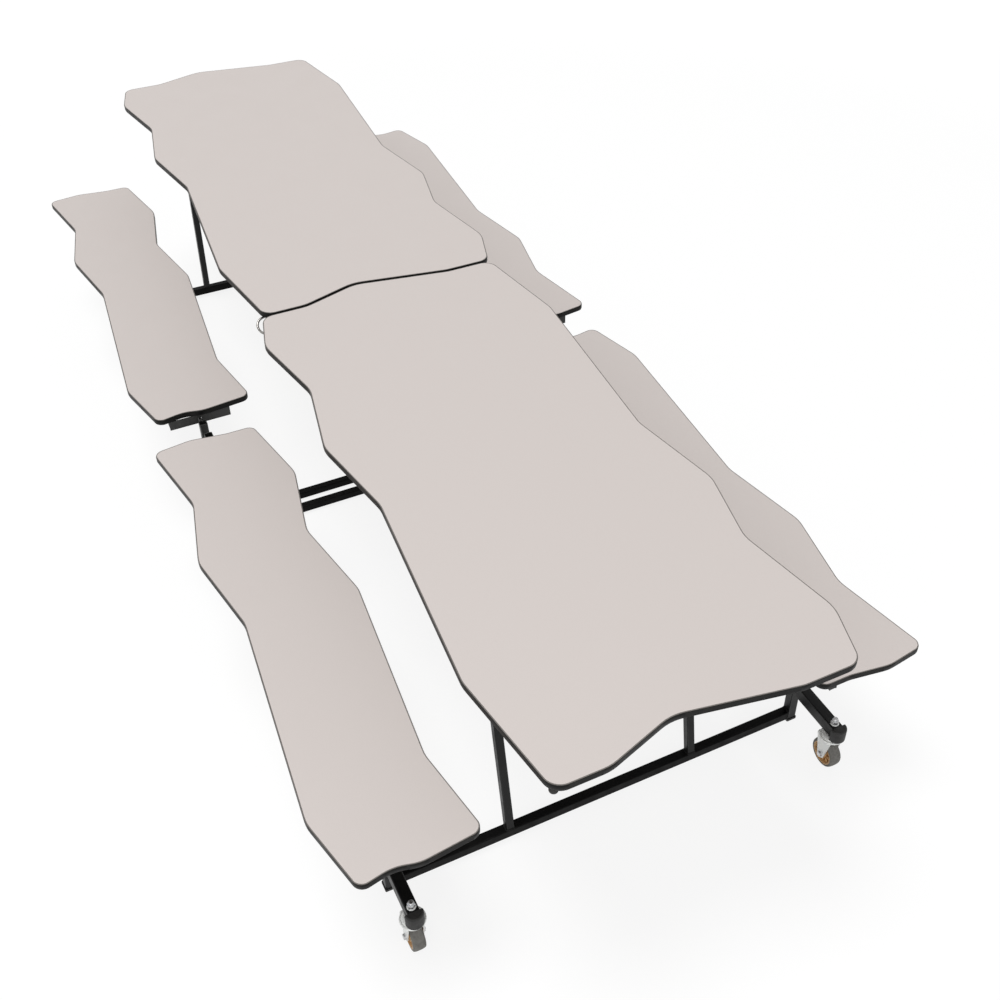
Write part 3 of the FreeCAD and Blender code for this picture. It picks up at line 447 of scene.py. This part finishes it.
# The plane of Y and Z: the matrix's X axis is the table's Y, and its Y axis is upwards.
UP_ON_X = Matrix(((0, 0, 1, 0), (1, 0, 0, 0), (0, 1, 0, 0), (0, 0, 0, 1)))


def spot(half, x, y, z):
    """Matrix of a place given in half "a"; y is the table's own, so a side keeps its name."""
    turn = Matrix.Rotation(0 if half == "a" else math.pi, 4, "Z")
    return turn @ Matrix.Translation((x, y * HALVES[half], z))


def both_ways(place):
    """The place with Z outwards on each of the two ends of an axis along Y."""
    return place @ ALONG_Y @ DOWNWARDS, place @ ALONG_Y


def add_rings(bm, rings, closed=False):
    """Faces between rings of vertices; closed joins the last ring to the first."""
    made = [[bm.verts.new(point) for point in ring] for ring in rings]
    pairs = list(zip(made, made[1:]))
    if closed:
        pairs.append((made[-1], made[0]))
    for low, high in pairs:
        for i in range(len(low)):
            j = (i + 1) % len(low)
            bm.faces.new((low[i], low[j], high[j], high[i]))
    if not closed:
        bm.faces.new(reversed(made[0]))
        bm.faces.new(made[-1])


def profile(*points, base=0.0):
    """A lathe's profile in metres, from (radius, height above base) pairs in millimetres."""
    return [(radius * MM, base + height * MM) for radius, height in points]


def mirrored(points):
    """The profile, followed by itself upside down and backwards."""
    return points + [(radius, -height) for radius, height in reversed(points)]


def lathe(bm, points, matrix, segments=40, closed=False):
    """A turned form about the matrix's Z axis, from (radius, height) pairs, upwards."""
    rings = [
        [
            matrix @ Vector((radius * math.cos(angle), radius * math.sin(angle), height))
            for angle in (2 * math.pi * k / segments for k in range(segments))
        ]
        for radius, height in points
    ]
    add_rings(bm, rings, closed)


def block(bm, low, high, matrix):
    """A box between two corners in the matrix's frame."""
    corners = ((low[0], low[1]), (high[0], low[1]), (high[0], high[1]), (low[0], high[1]))
    add_rings(bm, [[matrix @ Vector((x, y, z)) for x, y in corners] for z in (low[2], high[2])])


def hexagon(bm, nut, base, matrix):
    """A nut or bolt head: six sides, with the corners of its outer face chamfered."""
    corner = nut.apothem / math.cos(math.pi / 6)
    points = [(corner, 0), (corner, nut.height - nut.chamfer), (1.02 * nut.apothem, nut.height)]
    lathe(bm, profile(*points, base=base), matrix, segments=6)


def thread(root, crest, start, turns):
    """The ridges of a screw thread, as (radius, height) pairs in millimetres."""
    points = []
    for turn in range(turns):
        height = start + turn * THREAD_PITCH
        points += [(root, height), (crest, height + THREAD_PITCH / 2)]
    return points


def finish_piece(name, bm, material, body, nodes=(), rounding=None, smooth=True):
    """An object from the mesh, riding on its body and standing for the given CAD nodes."""
    bmesh.ops.recalc_face_normals(bm, faces=bm.faces)
    mesh = bpy.data.meshes.new(name)
    bm.to_mesh(mesh)
    bm.free()
    for face in mesh.polygons:
        face.use_smooth = smooth
    thing = bpy.data.objects.new(name, mesh)
    bpy.context.scene.collection.objects.link(thing)
    mesh.materials.append(material)
    if rounding:
        round_edges(thing, rounding)
    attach(thing, body)
    if nodes:
        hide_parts(*nodes)


# ---------------------------------------------------------------- casters
CAP_X = 1623 * MM                   # middle of the round cap on the end of an arm
CAP_STEPS = 30                      # round the half circle of the cap
STEM_WASHER, STEM_NUT = 2 * MM, Nut(8.4, 10, 0.6)
AXLE_WASHER, AXLE_NUT = 1 * MM, Nut(7.2, 4.6, 0.6)
YOKE_UNDER = 104.75 * MM            # underside of the fork's yoke
FORK_OUTSIDE = 21 * MM              # from the middle of the wheel to the outside of a fork leg
RIBS = 9                            # on each side of the wheel's web
RIB_START, RIB_END = 12.8 * MM, 29 * MM         # from the axle
RIB_INSIDE, RIB_OUTSIDE = 5 * MM, 13 * MM       # from the middle of the wheel
RIB_HALF = 1 * MM


def make_stem(side, half, materials):
    """Race under the arm, washer, lock nut with its nylon collar, and threaded end of the stem."""
    place = spot(half, STEM_X, BENCH_Y * SIDES[side], 0)
    body = f"end_frame_{half}"
    node = f"caster_stems_{half}"
    bm = bmesh.new()
    race = profile((24.5, -6), (26.4, -5.7), (27, -4.8), (26.6, -3.6), (22.5, -1.6), (20, -0.4),
                   (18.5, 0), base=ARM_BOTTOM)
    lathe(bm, race, place, segments=56)
    washer = profile((10.4, 0), (11, 0.4), (11, 1.6), (10.4, 2), base=ARM_TOP)
    lathe(bm, washer, place)
    finish_piece(f"stem_race_{side}_{half}", bm, materials["zinc"], body, [node])
    bm = bmesh.new()
    base = ARM_TOP + STEM_WASHER
    hexagon(bm, STEM_NUT, base, place)
    stem_end = profile((6, 9), *thread(5.4, 6, start=12, turns=4), (5.2, 18), base=base)
    lathe(bm, stem_end, place, segments=32)
    finish_piece(f"stem_nut_{side}_{half}", bm, materials["nut_steel"], body, [node],
                 rounding=0.3 * MM, smooth=False)
    bm = bmesh.new()
    lathe(bm, profile((7.9, 9.4), (7.9, 12), (7.2, 12.9), (6.1, 13), base=base), place)
    finish_piece(f"stem_collar_{side}_{half}", bm, materials["nylon_collar"], body, [node])


def make_arm_cap(side, half, materials):
    """The moulded cap pushed over the end of a caster arm: half round, with softened edges."""
    place = spot(half, CAP_X, BENCH_Y * SIDES[side], 0)
    outline = profile((20.6, -0.5), (22, -0.1), (22.7, 1), (22.8, 3), (22.8, 34.5), (22.4, 37.2),
                      (21.2, 39.2), (19, 40.2), (16.5, 40.4), base=ARM_BOTTOM)
    angles = [math.radians(-90 + 180 * k / CAP_STEPS) for k in range(CAP_STEPS + 1)]
    bm = bmesh.new()
    add_rings(bm, [
        [place @ Vector((radius * math.cos(angle), radius * math.sin(angle), height))
         for angle in angles]
        for radius, height in outline
    ])
    finish_piece(f"arm_cap_{side}_{half}", bm, materials["black_plastic"], f"end_frame_{half}",
                 rounding=0.4 * MM)


def make_fork_hardware(side, half, materials):
    """Rolled lip of the crown, kingpin rivet, and the axle's bolt head and nut."""
    y = BENCH_Y * SIDES[side]
    body = f"fork_{side}_{half}"
    bm = bmesh.new()
    lip = profile((26.2, -6.4), (29.8, -6.1), (31.2, -5.2), (31.6, -3.5), (31, -1.5), (29.4, -0.6),
                  (27.6, -0.3), (26.2, -0.5), base=RACE_BOTTOM)
    lathe(bm, lip, spot(half, STEM_X, y, 0), segments=56, closed=True)
    finish_piece(f"crown_lip_{side}_{half}", bm, materials["zinc"], body)
    bm = bmesh.new()
    rivet = profile((10, 0), (9.6, 1.6), (7.4, 3.2), (3.5, 4))
    lathe(bm, rivet, spot(half, STEM_X, y, YOKE_UNDER) @ DOWNWARDS, segments=32)
    axle = spot(half, AXLE_X, y, WHEEL_RADIUS)
    for outward in both_ways(axle):
        washer = profile((9, 0), (9, 0.8), (8.4, 1.1), base=FORK_OUTSIDE)
        lathe(bm, washer, outward, segments=32)
        hexagon(bm, AXLE_NUT, FORK_OUTSIDE + AXLE_WASHER, outward)
    bolt_end = profile((3.6, 5), (4, 7), (3.2, 7.8), base=FORK_OUTSIDE)
    lathe(bm, bolt_end, axle @ ALONG_Y, segments=24)
    finish_piece(f"axle_bolt_{side}_{half}", bm, materials["nut_steel"], body,
                 rounding=0.25 * MM, smooth=False)


def make_wheel(side, half, materials):
    """Crowned tread on a ribbed nylon core, which turns on a steel sleeve."""
    body = f"wheel_{side}_{half}"
    axis = spot(half, AXLE_X, BENCH_Y * SIDES[side], WHEEL_RADIUS) @ ALONG_Y
    bm = bmesh.new()
    tread = profile((33, -16), (36.5, -16), (38.4, -15.2), (39.7, -12.8), (40.6, -8.5), (41, -3))
    lathe(bm, mirrored(tread), axis, segments=72, closed=True)
    finish_piece(f"tread_{side}_{half}", bm, materials["tread"], body,
                 [f"caster_tyre_{side}_{half}"])
    bm = bmesh.new()
    core = profile((5.6, -17), (12.2, -17), (13, -16.4), (13.6, -7), (14.6, -6), (27, -6),
                   (28.2, -7), (29.4, -15.6), (30.2, -16.1), (32.6, -16.1), (33.1, -15.7))
    lathe(bm, mirrored(core), axis, segments=72, closed=True)
    for turn in range(RIBS):
        rib = axis @ Matrix.Rotation(2 * math.pi * turn / RIBS, 4, "Z")
        for way in (-1, 1):
            block(bm, (RIB_START, -RIB_HALF, RIB_INSIDE * way),
                  (RIB_END, RIB_HALF, RIB_OUTSIDE * way), rib)
    finish_piece(f"wheel_core_{side}_{half}", bm, materials["wheel_core"], body,
                 [f"caster_core_{side}_{half}"])
    bm = bmesh.new()
    sleeve = profile((4.1, -17.7), (5.7, -17.7), (5.7, 17.7), (4.1, 17.7))
    lathe(bm, sleeve, axis, segments=32, closed=True)
    finish_piece(f"wheel_sleeve_{side}_{half}", bm, materials["nut_steel"], body)


# ---------------------------------------------------------------- welds
BEAD_RADIUS = 1.9 * MM
BEAD_STEP = 2.4 * MM
BEAD_CORNER = 3 * MM
BEAD_SIDES = 6
RIPPLE = (0.86, 1.12)               # of the bead's radius, in turn along the bead
POST_INSET = 0.5 * MM               # from the edge of a crossbar's end to its bead
EAR_BELOW, EAR_ABOVE, EAR_HALF = 16.5 * MM, 11 * MM, 4 * MM     # about the pivot of a bench


def rectangle_path(half_u, low_v, high_v):
    """Corner points, rounded a little, of a rectangle in a plane of u and v."""
    path = []
    for u, v, start in ((1, 1, 0), (-1, 1, 90), (-1, -1, 180), (1, -1, 270)):
        centre_u = u * (half_u - BEAD_CORNER)
        centre_v = high_v - BEAD_CORNER if v > 0 else low_v + BEAD_CORNER
        for turn in (0, 45, 90):
            angle = math.radians(start + turn)
            path.append((centre_u + BEAD_CORNER * math.cos(angle),
                         centre_v + BEAD_CORNER * math.sin(angle)))
    return path


def weld(bm, matrix, half_u, low_v, high_v):
    """A rippled weld bead round a tube that meets the matrix's XY plane."""
    corners = rectangle_path(half_u, low_v, high_v)
    points = []
    for start, end in zip(corners, corners[1:] + corners[:1]):
        steps = max(1, round(math.dist(start, end) / BEAD_STEP))
        points += [Vector((*start, 0)).lerp(Vector((*end, 0)), k / steps) for k in range(steps)]
    upright = Vector((0, 0, 1))
    rings = []
    for k, point in enumerate(points):
        along = (points[(k + 1) % len(points)] - points[k - 1]).normalized()
        across = along.cross(upright)
        radius = BEAD_RADIUS * RIPPLE[k % 2]
        rings.append([
            matrix @ (point + radius * (across * math.cos(angle) + upright * math.sin(angle)))
            for angle in (2 * math.pi * i / BEAD_SIDES for i in range(BEAD_SIDES))
        ])
    add_rings(bm, rings, closed=True)


def make_welds(half, materials):
    """Beads round the feet of the legs, where crossbars and arms meet posts, and round the ears."""
    pivot_z = PIVOTS["bench_right_a_pivot"][2]
    for kind in FRAME_KINDS:
        start, end = span(f"{kind}_crossbar_a", "x")
        low, top = span(f"{kind}_crossbar_a", "z")
        x, tube = (start + end) / 2, end - start
        leg_half = LEG_WIDTH / 2 if kind == "end" else tube / 2
        bm = bmesh.new()
        for hand in SIDES.values():
            leg_foot = spot(half, x, LEG_Y[kind] * hand, top)
            weld(bm, leg_foot, leg_half, -LEG_WIDTH / 2, LEG_WIDTH / 2)
            post_face = spot(half, x, (BENCH_Y - tube / 2) * hand, 0)
            upright = post_face @ Matrix.Rotation(math.radians(90), 4, "X")
            weld(bm, upright, tube / 2 - POST_INSET, low + POST_INSET, top - POST_INSET)
            outer_face = spot(half, x + tube / 2, BENCH_Y * hand, 0) @ UP_ON_X
            weld(bm, outer_face, EAR_HALF, pivot_z - EAR_BELOW, pivot_z + EAR_ABOVE)
            if kind == "end":
                weld(bm, outer_face, tube / 2, ARM_BOTTOM, ARM_TOP)
        finish_piece(f"{kind}_frame_welds_{half}", bm, materials["black_paint"],
                     f"{kind}_frame_{half}")


# ---------------------------------------------------------------- screws, nuts and plugs
RAIL_WALL = 2 * MM                  # thickness of the channels
PLATE = 4 * MM                      # thickness of the clevises and the hinge leaves
SCREW_WASHER, SCREW_HEAD = 0.8 * MM, Nut(3.6, 3.6, 0.4)
TOP_SCREWS, BENCH_SCREWS = 7, 6     # along each channel
ROW_INSET = 35 * MM                 # from the ends of a channel to its outer screws
FOLD_X = PIVOTS["fold"][0]
CLEVIS_SCREW = 24 * MM              # to each side of the fold's axis
LEAF_START, LEAF_LENGTH = 42 * MM, 72 * MM
LEAF_Y = {"a": 200 * MM, "b": 210 * MM}         # the leaves of the halves lie side by side
LEAF_SCREW_END, LEAF_SCREW_SIDE = 14 * MM, 11 * MM
INNER_CLEVIS_SCREWS = (LEAF_START + 22 * MM, LEAF_START + 58 * MM)
HINGE_Z = PIVOTS["centre_hinge"][2]
BAR_REACH = 214.5 * MM              # where the washers start on the torsion bar
BAR_WASHER, BAR_NUT = 1.8 * MM, Nut(12.2, 7.2, 1)
PLUG_REACH, PLUG_RECESS = 14 * MM, 0.6 * MM    # from the end of a channel, inwards
PLUG_GAP = 0.4 * MM                 # from the underside of a plug to that of its channel


def screw(bm, half, x, y, z):
    """A hex washer-head screw, driven upwards."""
    place = spot(half, x, y, z) @ DOWNWARDS
    lathe(bm, profile((6.2, 0), (6.2, 0.5), (4.6, 1)), place, segments=20)
    hexagon(bm, SCREW_HEAD, SCREW_WASHER, place)


def rail_screws(bm, half, rail, y, count):
    """A row of screws along each of a board's two channels; y is the middle of the board."""
    first, last = rail.start + ROW_INSET, rail.end - ROW_INSET
    for offset in (-rail.offset, rail.offset):
        for k in range(count):
            x = first + (last - first) * k / (count - 1)
            screw(bm, half, x, y + offset, rail.under - RAIL_WALL)


def make_screws(half, materials):
    """Screws that hold channels, clevises and hinge leaves to the boards of one half."""
    bm = bmesh.new()
    rail_screws(bm, half, TOP_RAIL, 0, TOP_SCREWS)
    plate_z = TOP_RAIL.under - PLATE
    for hand in SIDES.values():
        for x in (FOLD_X - CLEVIS_SCREW, FOLD_X + CLEVIS_SCREW):
            screw(bm, half, x, LEG_Y["end"] * hand, plate_z)
        for x in INNER_CLEVIS_SCREWS:
            screw(bm, half, x, LEG_Y["inner"] * hand, plate_z)
        for x in (LEAF_START + LEAF_SCREW_END, LEAF_START + LEAF_LENGTH - LEAF_SCREW_END):
            for shift in (-LEAF_SCREW_SIDE, LEAF_SCREW_SIDE):
                screw(bm, half, x, (LEAF_Y[half] + shift) * hand, plate_z)
    finish_piece(f"screws_top_{half}", bm, materials["nut_steel"], f"top_{half}",
                 smooth=False)
    for side, hand in SIDES.items():
        bm = bmesh.new()
        rail_screws(bm, half, BENCH_RAIL, BENCH_Y * hand, BENCH_SCREWS)
        finish_piece(f"screws_bench_{side}_{half}", bm, materials["nut_steel"],
                     f"bench_{side}_{half}", smooth=False)


def make_bar_nuts(materials):
    """Hex nuts with washers and threaded ends on the torsion bar."""
    bm = bmesh.new()
    for outward in both_ways(Matrix.Translation((0, 0, HINGE_Z))):
        washer = profile((14.5, 0.1), (14.5, 1.5), (13.8, 1.9), base=BAR_REACH)
        lathe(bm, washer, outward, segments=36)
        hexagon(bm, BAR_NUT, BAR_REACH + BAR_WASHER, outward)
        bar_end = profile((6.6, 8), *thread(6.2, 6.9, start=9, turns=3), (5.9, 14),
                          base=BAR_REACH)
        lathe(bm, bar_end, outward, segments=32)
    finish_piece("torsion_bar_nuts", bm, materials["nut_steel"], "top_a",
                 rounding=0.3 * MM, smooth=False)


def plug_rails(bm, half, rail, y, start, end):
    """Plugs from start to end along X in both channels of a board; y is its middle."""
    wide = rail.width / 2 - RAIL_WALL
    for offset in (-rail.offset, rail.offset):
        place = spot(half, 0, y + offset, rail.under)
        block(bm, (start, -wide, PLUG_GAP - rail.depth), (end, wide, -RAIL_WALL), place)


def make_rail_plugs(half, materials):
    """Moulded plugs in the open ends of the channels under the boards of one half."""
    bm = bmesh.new()
    plug_rails(bm, half, TOP_RAIL, 0, TOP_RAIL.end - PLUG_REACH, TOP_RAIL.end - PLUG_RECESS)
    plug_rails(bm, half, TOP_RAIL, 0, TOP_RAIL.start + PLUG_RECESS, TOP_RAIL.start + PLUG_REACH)
    finish_piece(f"rail_plugs_top_{half}", bm, materials["black_plastic"], f"top_{half}",
                 rounding=0.6 * MM)
    for side, hand in SIDES.items():
        bm = bmesh.new()
        plug_rails(bm, half, BENCH_RAIL, BENCH_Y * hand, BENCH_RAIL.end - PLUG_REACH,
                   BENCH_RAIL.end - PLUG_RECESS)
        finish_piece(f"rail_plugs_bench_{side}_{half}", bm, materials["black_plastic"],
                     f"bench_{side}_{half}", rounding=0.6 * MM)


# ---------------------------------------------------------------- release ring and bumpers
ROD_RADIUS, ROD_TIP, ROD_END = 3 * MM, 221 * MM, 322 * MM
EYE_RADIUS = 1.5 * ROD_RADIUS
RING_RADIUS, RING_WIRE = 28 * MM, 3.4 * MM
RING_SIDES, RING_DROP = 15, 2 * MM
RING_TILT = 32                      # degrees that the ring hangs below the level towards half "a"
BUMPER_OUT, BUMPER_ASIDE = 4 * MM, 3 * MM       # from the middle of the bumper in the CAD


def make_release(materials):
    """The rod of the lock, its thick eye, and the bright wire ring that hangs in the eye."""
    low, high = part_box("release_handle")
    lock_x, lock_z = (low.x + high.x) / 2, (low.z + high.z) / 2
    bm = bmesh.new()
    rod = [(ROD_RADIUS - 0.8 * MM, ROD_TIP), (ROD_RADIUS, ROD_TIP + 1.2 * MM),
           (ROD_RADIUS, ROD_END - 3 * MM), (EYE_RADIUS, ROD_END - 1 * MM),
           (EYE_RADIUS, ROD_END + 3 * MM), (ROD_RADIUS, ROD_END + 4 * MM)]
    along_rod = Matrix.Translation((lock_x, 0, lock_z)) @ ALONG_Y @ DOWNWARDS
    lathe(bm, rod, along_rod, segments=24)
    middle = Matrix.Translation((lock_x, -(ROD_END + RING_RADIUS), lock_z - RING_DROP))
    tilt = Matrix.Rotation(math.radians(RING_TILT), 4, "Y")
    wire = [(RING_RADIUS + RING_WIRE * math.cos(angle), RING_WIRE * math.sin(angle))
            for angle in (2 * math.pi * k / RING_SIDES for k in range(RING_SIDES))]
    lathe(bm, wire, middle @ tilt, segments=64, closed=True)
    finish_piece("release_ring", bm, materials["bright_wire"], "release",
                 ["release_handle"])


def make_bumper(half, materials):
    """The rubber bumper under an outer corner of a table board, with a rounded foot."""
    node = f"bumper_{half}"
    low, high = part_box(node)
    outward = HALVES[half]
    place = Matrix.Translation(((low.x + high.x) / 2 + BUMPER_OUT * outward,
                                (low.y + high.y) / 2 - BUMPER_ASIDE * outward, high.z))
    bm = bmesh.new()
    foot = profile((9.4, 0), (9.4, 12), (10, 12.8), (10, 18), (9.4, 20.4), (7.6, 21.8), (5, 22))
    lathe(bm, foot, place @ DOWNWARDS, segments=36)
    finish_piece(f"rubber_bumper_{half}", bm, materials["black_plastic"], f"top_{half}",
                 [node])


# ---------------------------------------------------------------- stage
WHITE = (1, 1, 1, 1)     # with its alpha, as a colour socket takes it
AMBIENT = 0.37           # world light on the object
SKY_SEEN = 1.0           # world light for what is seen directly
FLOOR_SIZE = 60.0
FLOOR_BELOW = 0.5 * MM
FLOOR_WHITE = 0.80       # for the light that the floor sends back to the object
FLOOR_SEEN = 0.16        # for what is seen directly, with the lift that makes the open floor white
FLOOR_LIFT = 0.86        # the floor's own glow around the object
FLOOR_LIFT_FAR = 1.0     # and further out, where the shadow has ended
FLOOR_FADE = (3.5, 8.0)  # metres from the middle of the table
LAMP_TARGET = Vector((0, 0, 0.4))


def make_world():
    """An even white sky, dimmer for the light that falls on the object."""
    world = bpy.data.worlds.new("studio")
    bpy.context.scene.world = world
    tree = Tree(world)
    background = tree.nodes["Background"]
    background.inputs["Color"].default_value = WHITE
    strength = tree.map_range(tree.seen_directly(), (0, 1), (AMBIENT, SKY_SEEN))
    tree.link(strength, background.inputs["Strength"])


def lift_outwards(tree):
    """The floor's lift, which grows with the distance from the table."""
    place = tree.nodes.new("ShaderNodeTexCoord")
    distance = tree.nodes.new("ShaderNodeVectorMath")
    distance.operation = "LENGTH"
    tree.link(place.outputs["Object"], distance.inputs[0])
    return tree.map_range(distance.outputs["Value"], FLOOR_FADE, (FLOOR_LIFT, FLOOR_LIFT_FAR),
                          smooth=True)


def make_floor():
    """A plain pale floor that keeps the object's shadow, and looks white beyond it."""
    bpy.ops.mesh.primitive_plane_add(size=FLOOR_SIZE, location=(0, 0, -FLOOR_BELOW))
    floor = bpy.context.object
    floor.name = "floor"
    material = bpy.data.materials.new("floor")
    tree = Tree(material)
    shader = tree.nodes["Principled BSDF"]
    shader.inputs["Roughness"].default_value = 1.0
    shader.inputs["Specular IOR Level"].default_value = 0.0
    shader.inputs["Emission Color"].default_value = WHITE
    seen = tree.seen_directly()
    white = tree.map_range(seen, (0, 1), (FLOOR_WHITE, FLOOR_SEEN))
    lift = tree.arithmetic("MULTIPLY", seen, lift_outwards(tree))
    tree.link(white, shader.inputs["Base Color"])
    tree.link(lift, shader.inputs["Emission Strength"])
    floor.data.materials.append(material)


def make_lamp(name, place, size, power):
    """A round soft lamp that looks at the table; size in metres, power in watts."""
    data = bpy.data.lights.new(name, "AREA")
    data.shape = "DISK"
    data.size = size
    data.energy = power
    lamp = bpy.data.objects.new(name, data)
    bpy.context.scene.collection.objects.link(lamp)
    lamp.location = place
    lamp.rotation_euler = (LAMP_TARGET - Vector(place)).to_track_quat("-Z", "Y").to_euler()


def make_lamps():
    """A high key light, and a weak fill from the near end."""
    make_lamp("key", (-1.3, -3.6, 20.0), size=9.0, power=2230)
    make_lamp("fill", (5.0, -3.0, 3.2), size=4.0, power=70)


# Camera, worked out from the wavy edges, which repeat from one half of the table to the other.
CAMERA_PLACE = (3.0671, -0.9921, 2.6483)
CAMERA_TURN = (49.859, 0.2419, 63.804)    # degrees about X, Y and Z
CAMERA_LENS, CAMERA_SENSOR = 44.1624, 36  # millimetres
CAMERA_SHIFT = (-0.03, -0.015)
CAMERA_CLIP = (0.05, 200)


def make_camera():
    """The camera of the main view."""
    data = bpy.data.cameras.new("camera")
    data.sensor_width = CAMERA_SENSOR
    data.lens = CAMERA_LENS
    data.shift_x, data.shift_y = CAMERA_SHIFT
    data.clip_start, data.clip_end = CAMERA_CLIP
    camera = bpy.data.objects.new("camera", data)
    bpy.context.scene.collection.objects.link(camera)
    camera.location = CAMERA_PLACE
    camera.rotation_euler = Euler([math.radians(angle) for angle in CAMERA_TURN])
    bpy.context.scene.camera = camera


# ---------------------------------------------------------------- the scene
bpy.context.scene.view_settings.view_transform = "Standard"
make_camera()
make_world()
make_floor()
make_lamps()
finishes = make_materials()
dress_nodes(finishes)
for half_name in HALVES:
    make_welds(half_name, finishes)
    make_screws(half_name, finishes)
    make_rail_plugs(half_name, finishes)
    make_bumper(half_name, finishes)
    for side_name in SIDES:
        make_stem(side_name, half_name, finishes)
        make_arm_cap(side_name, half_name, finishes)
        make_fork_hardware(side_name, half_name, finishes)
        make_wheel(side_name, half_name, finishes)
make_bar_nuts(finishes)
make_release(finishes)
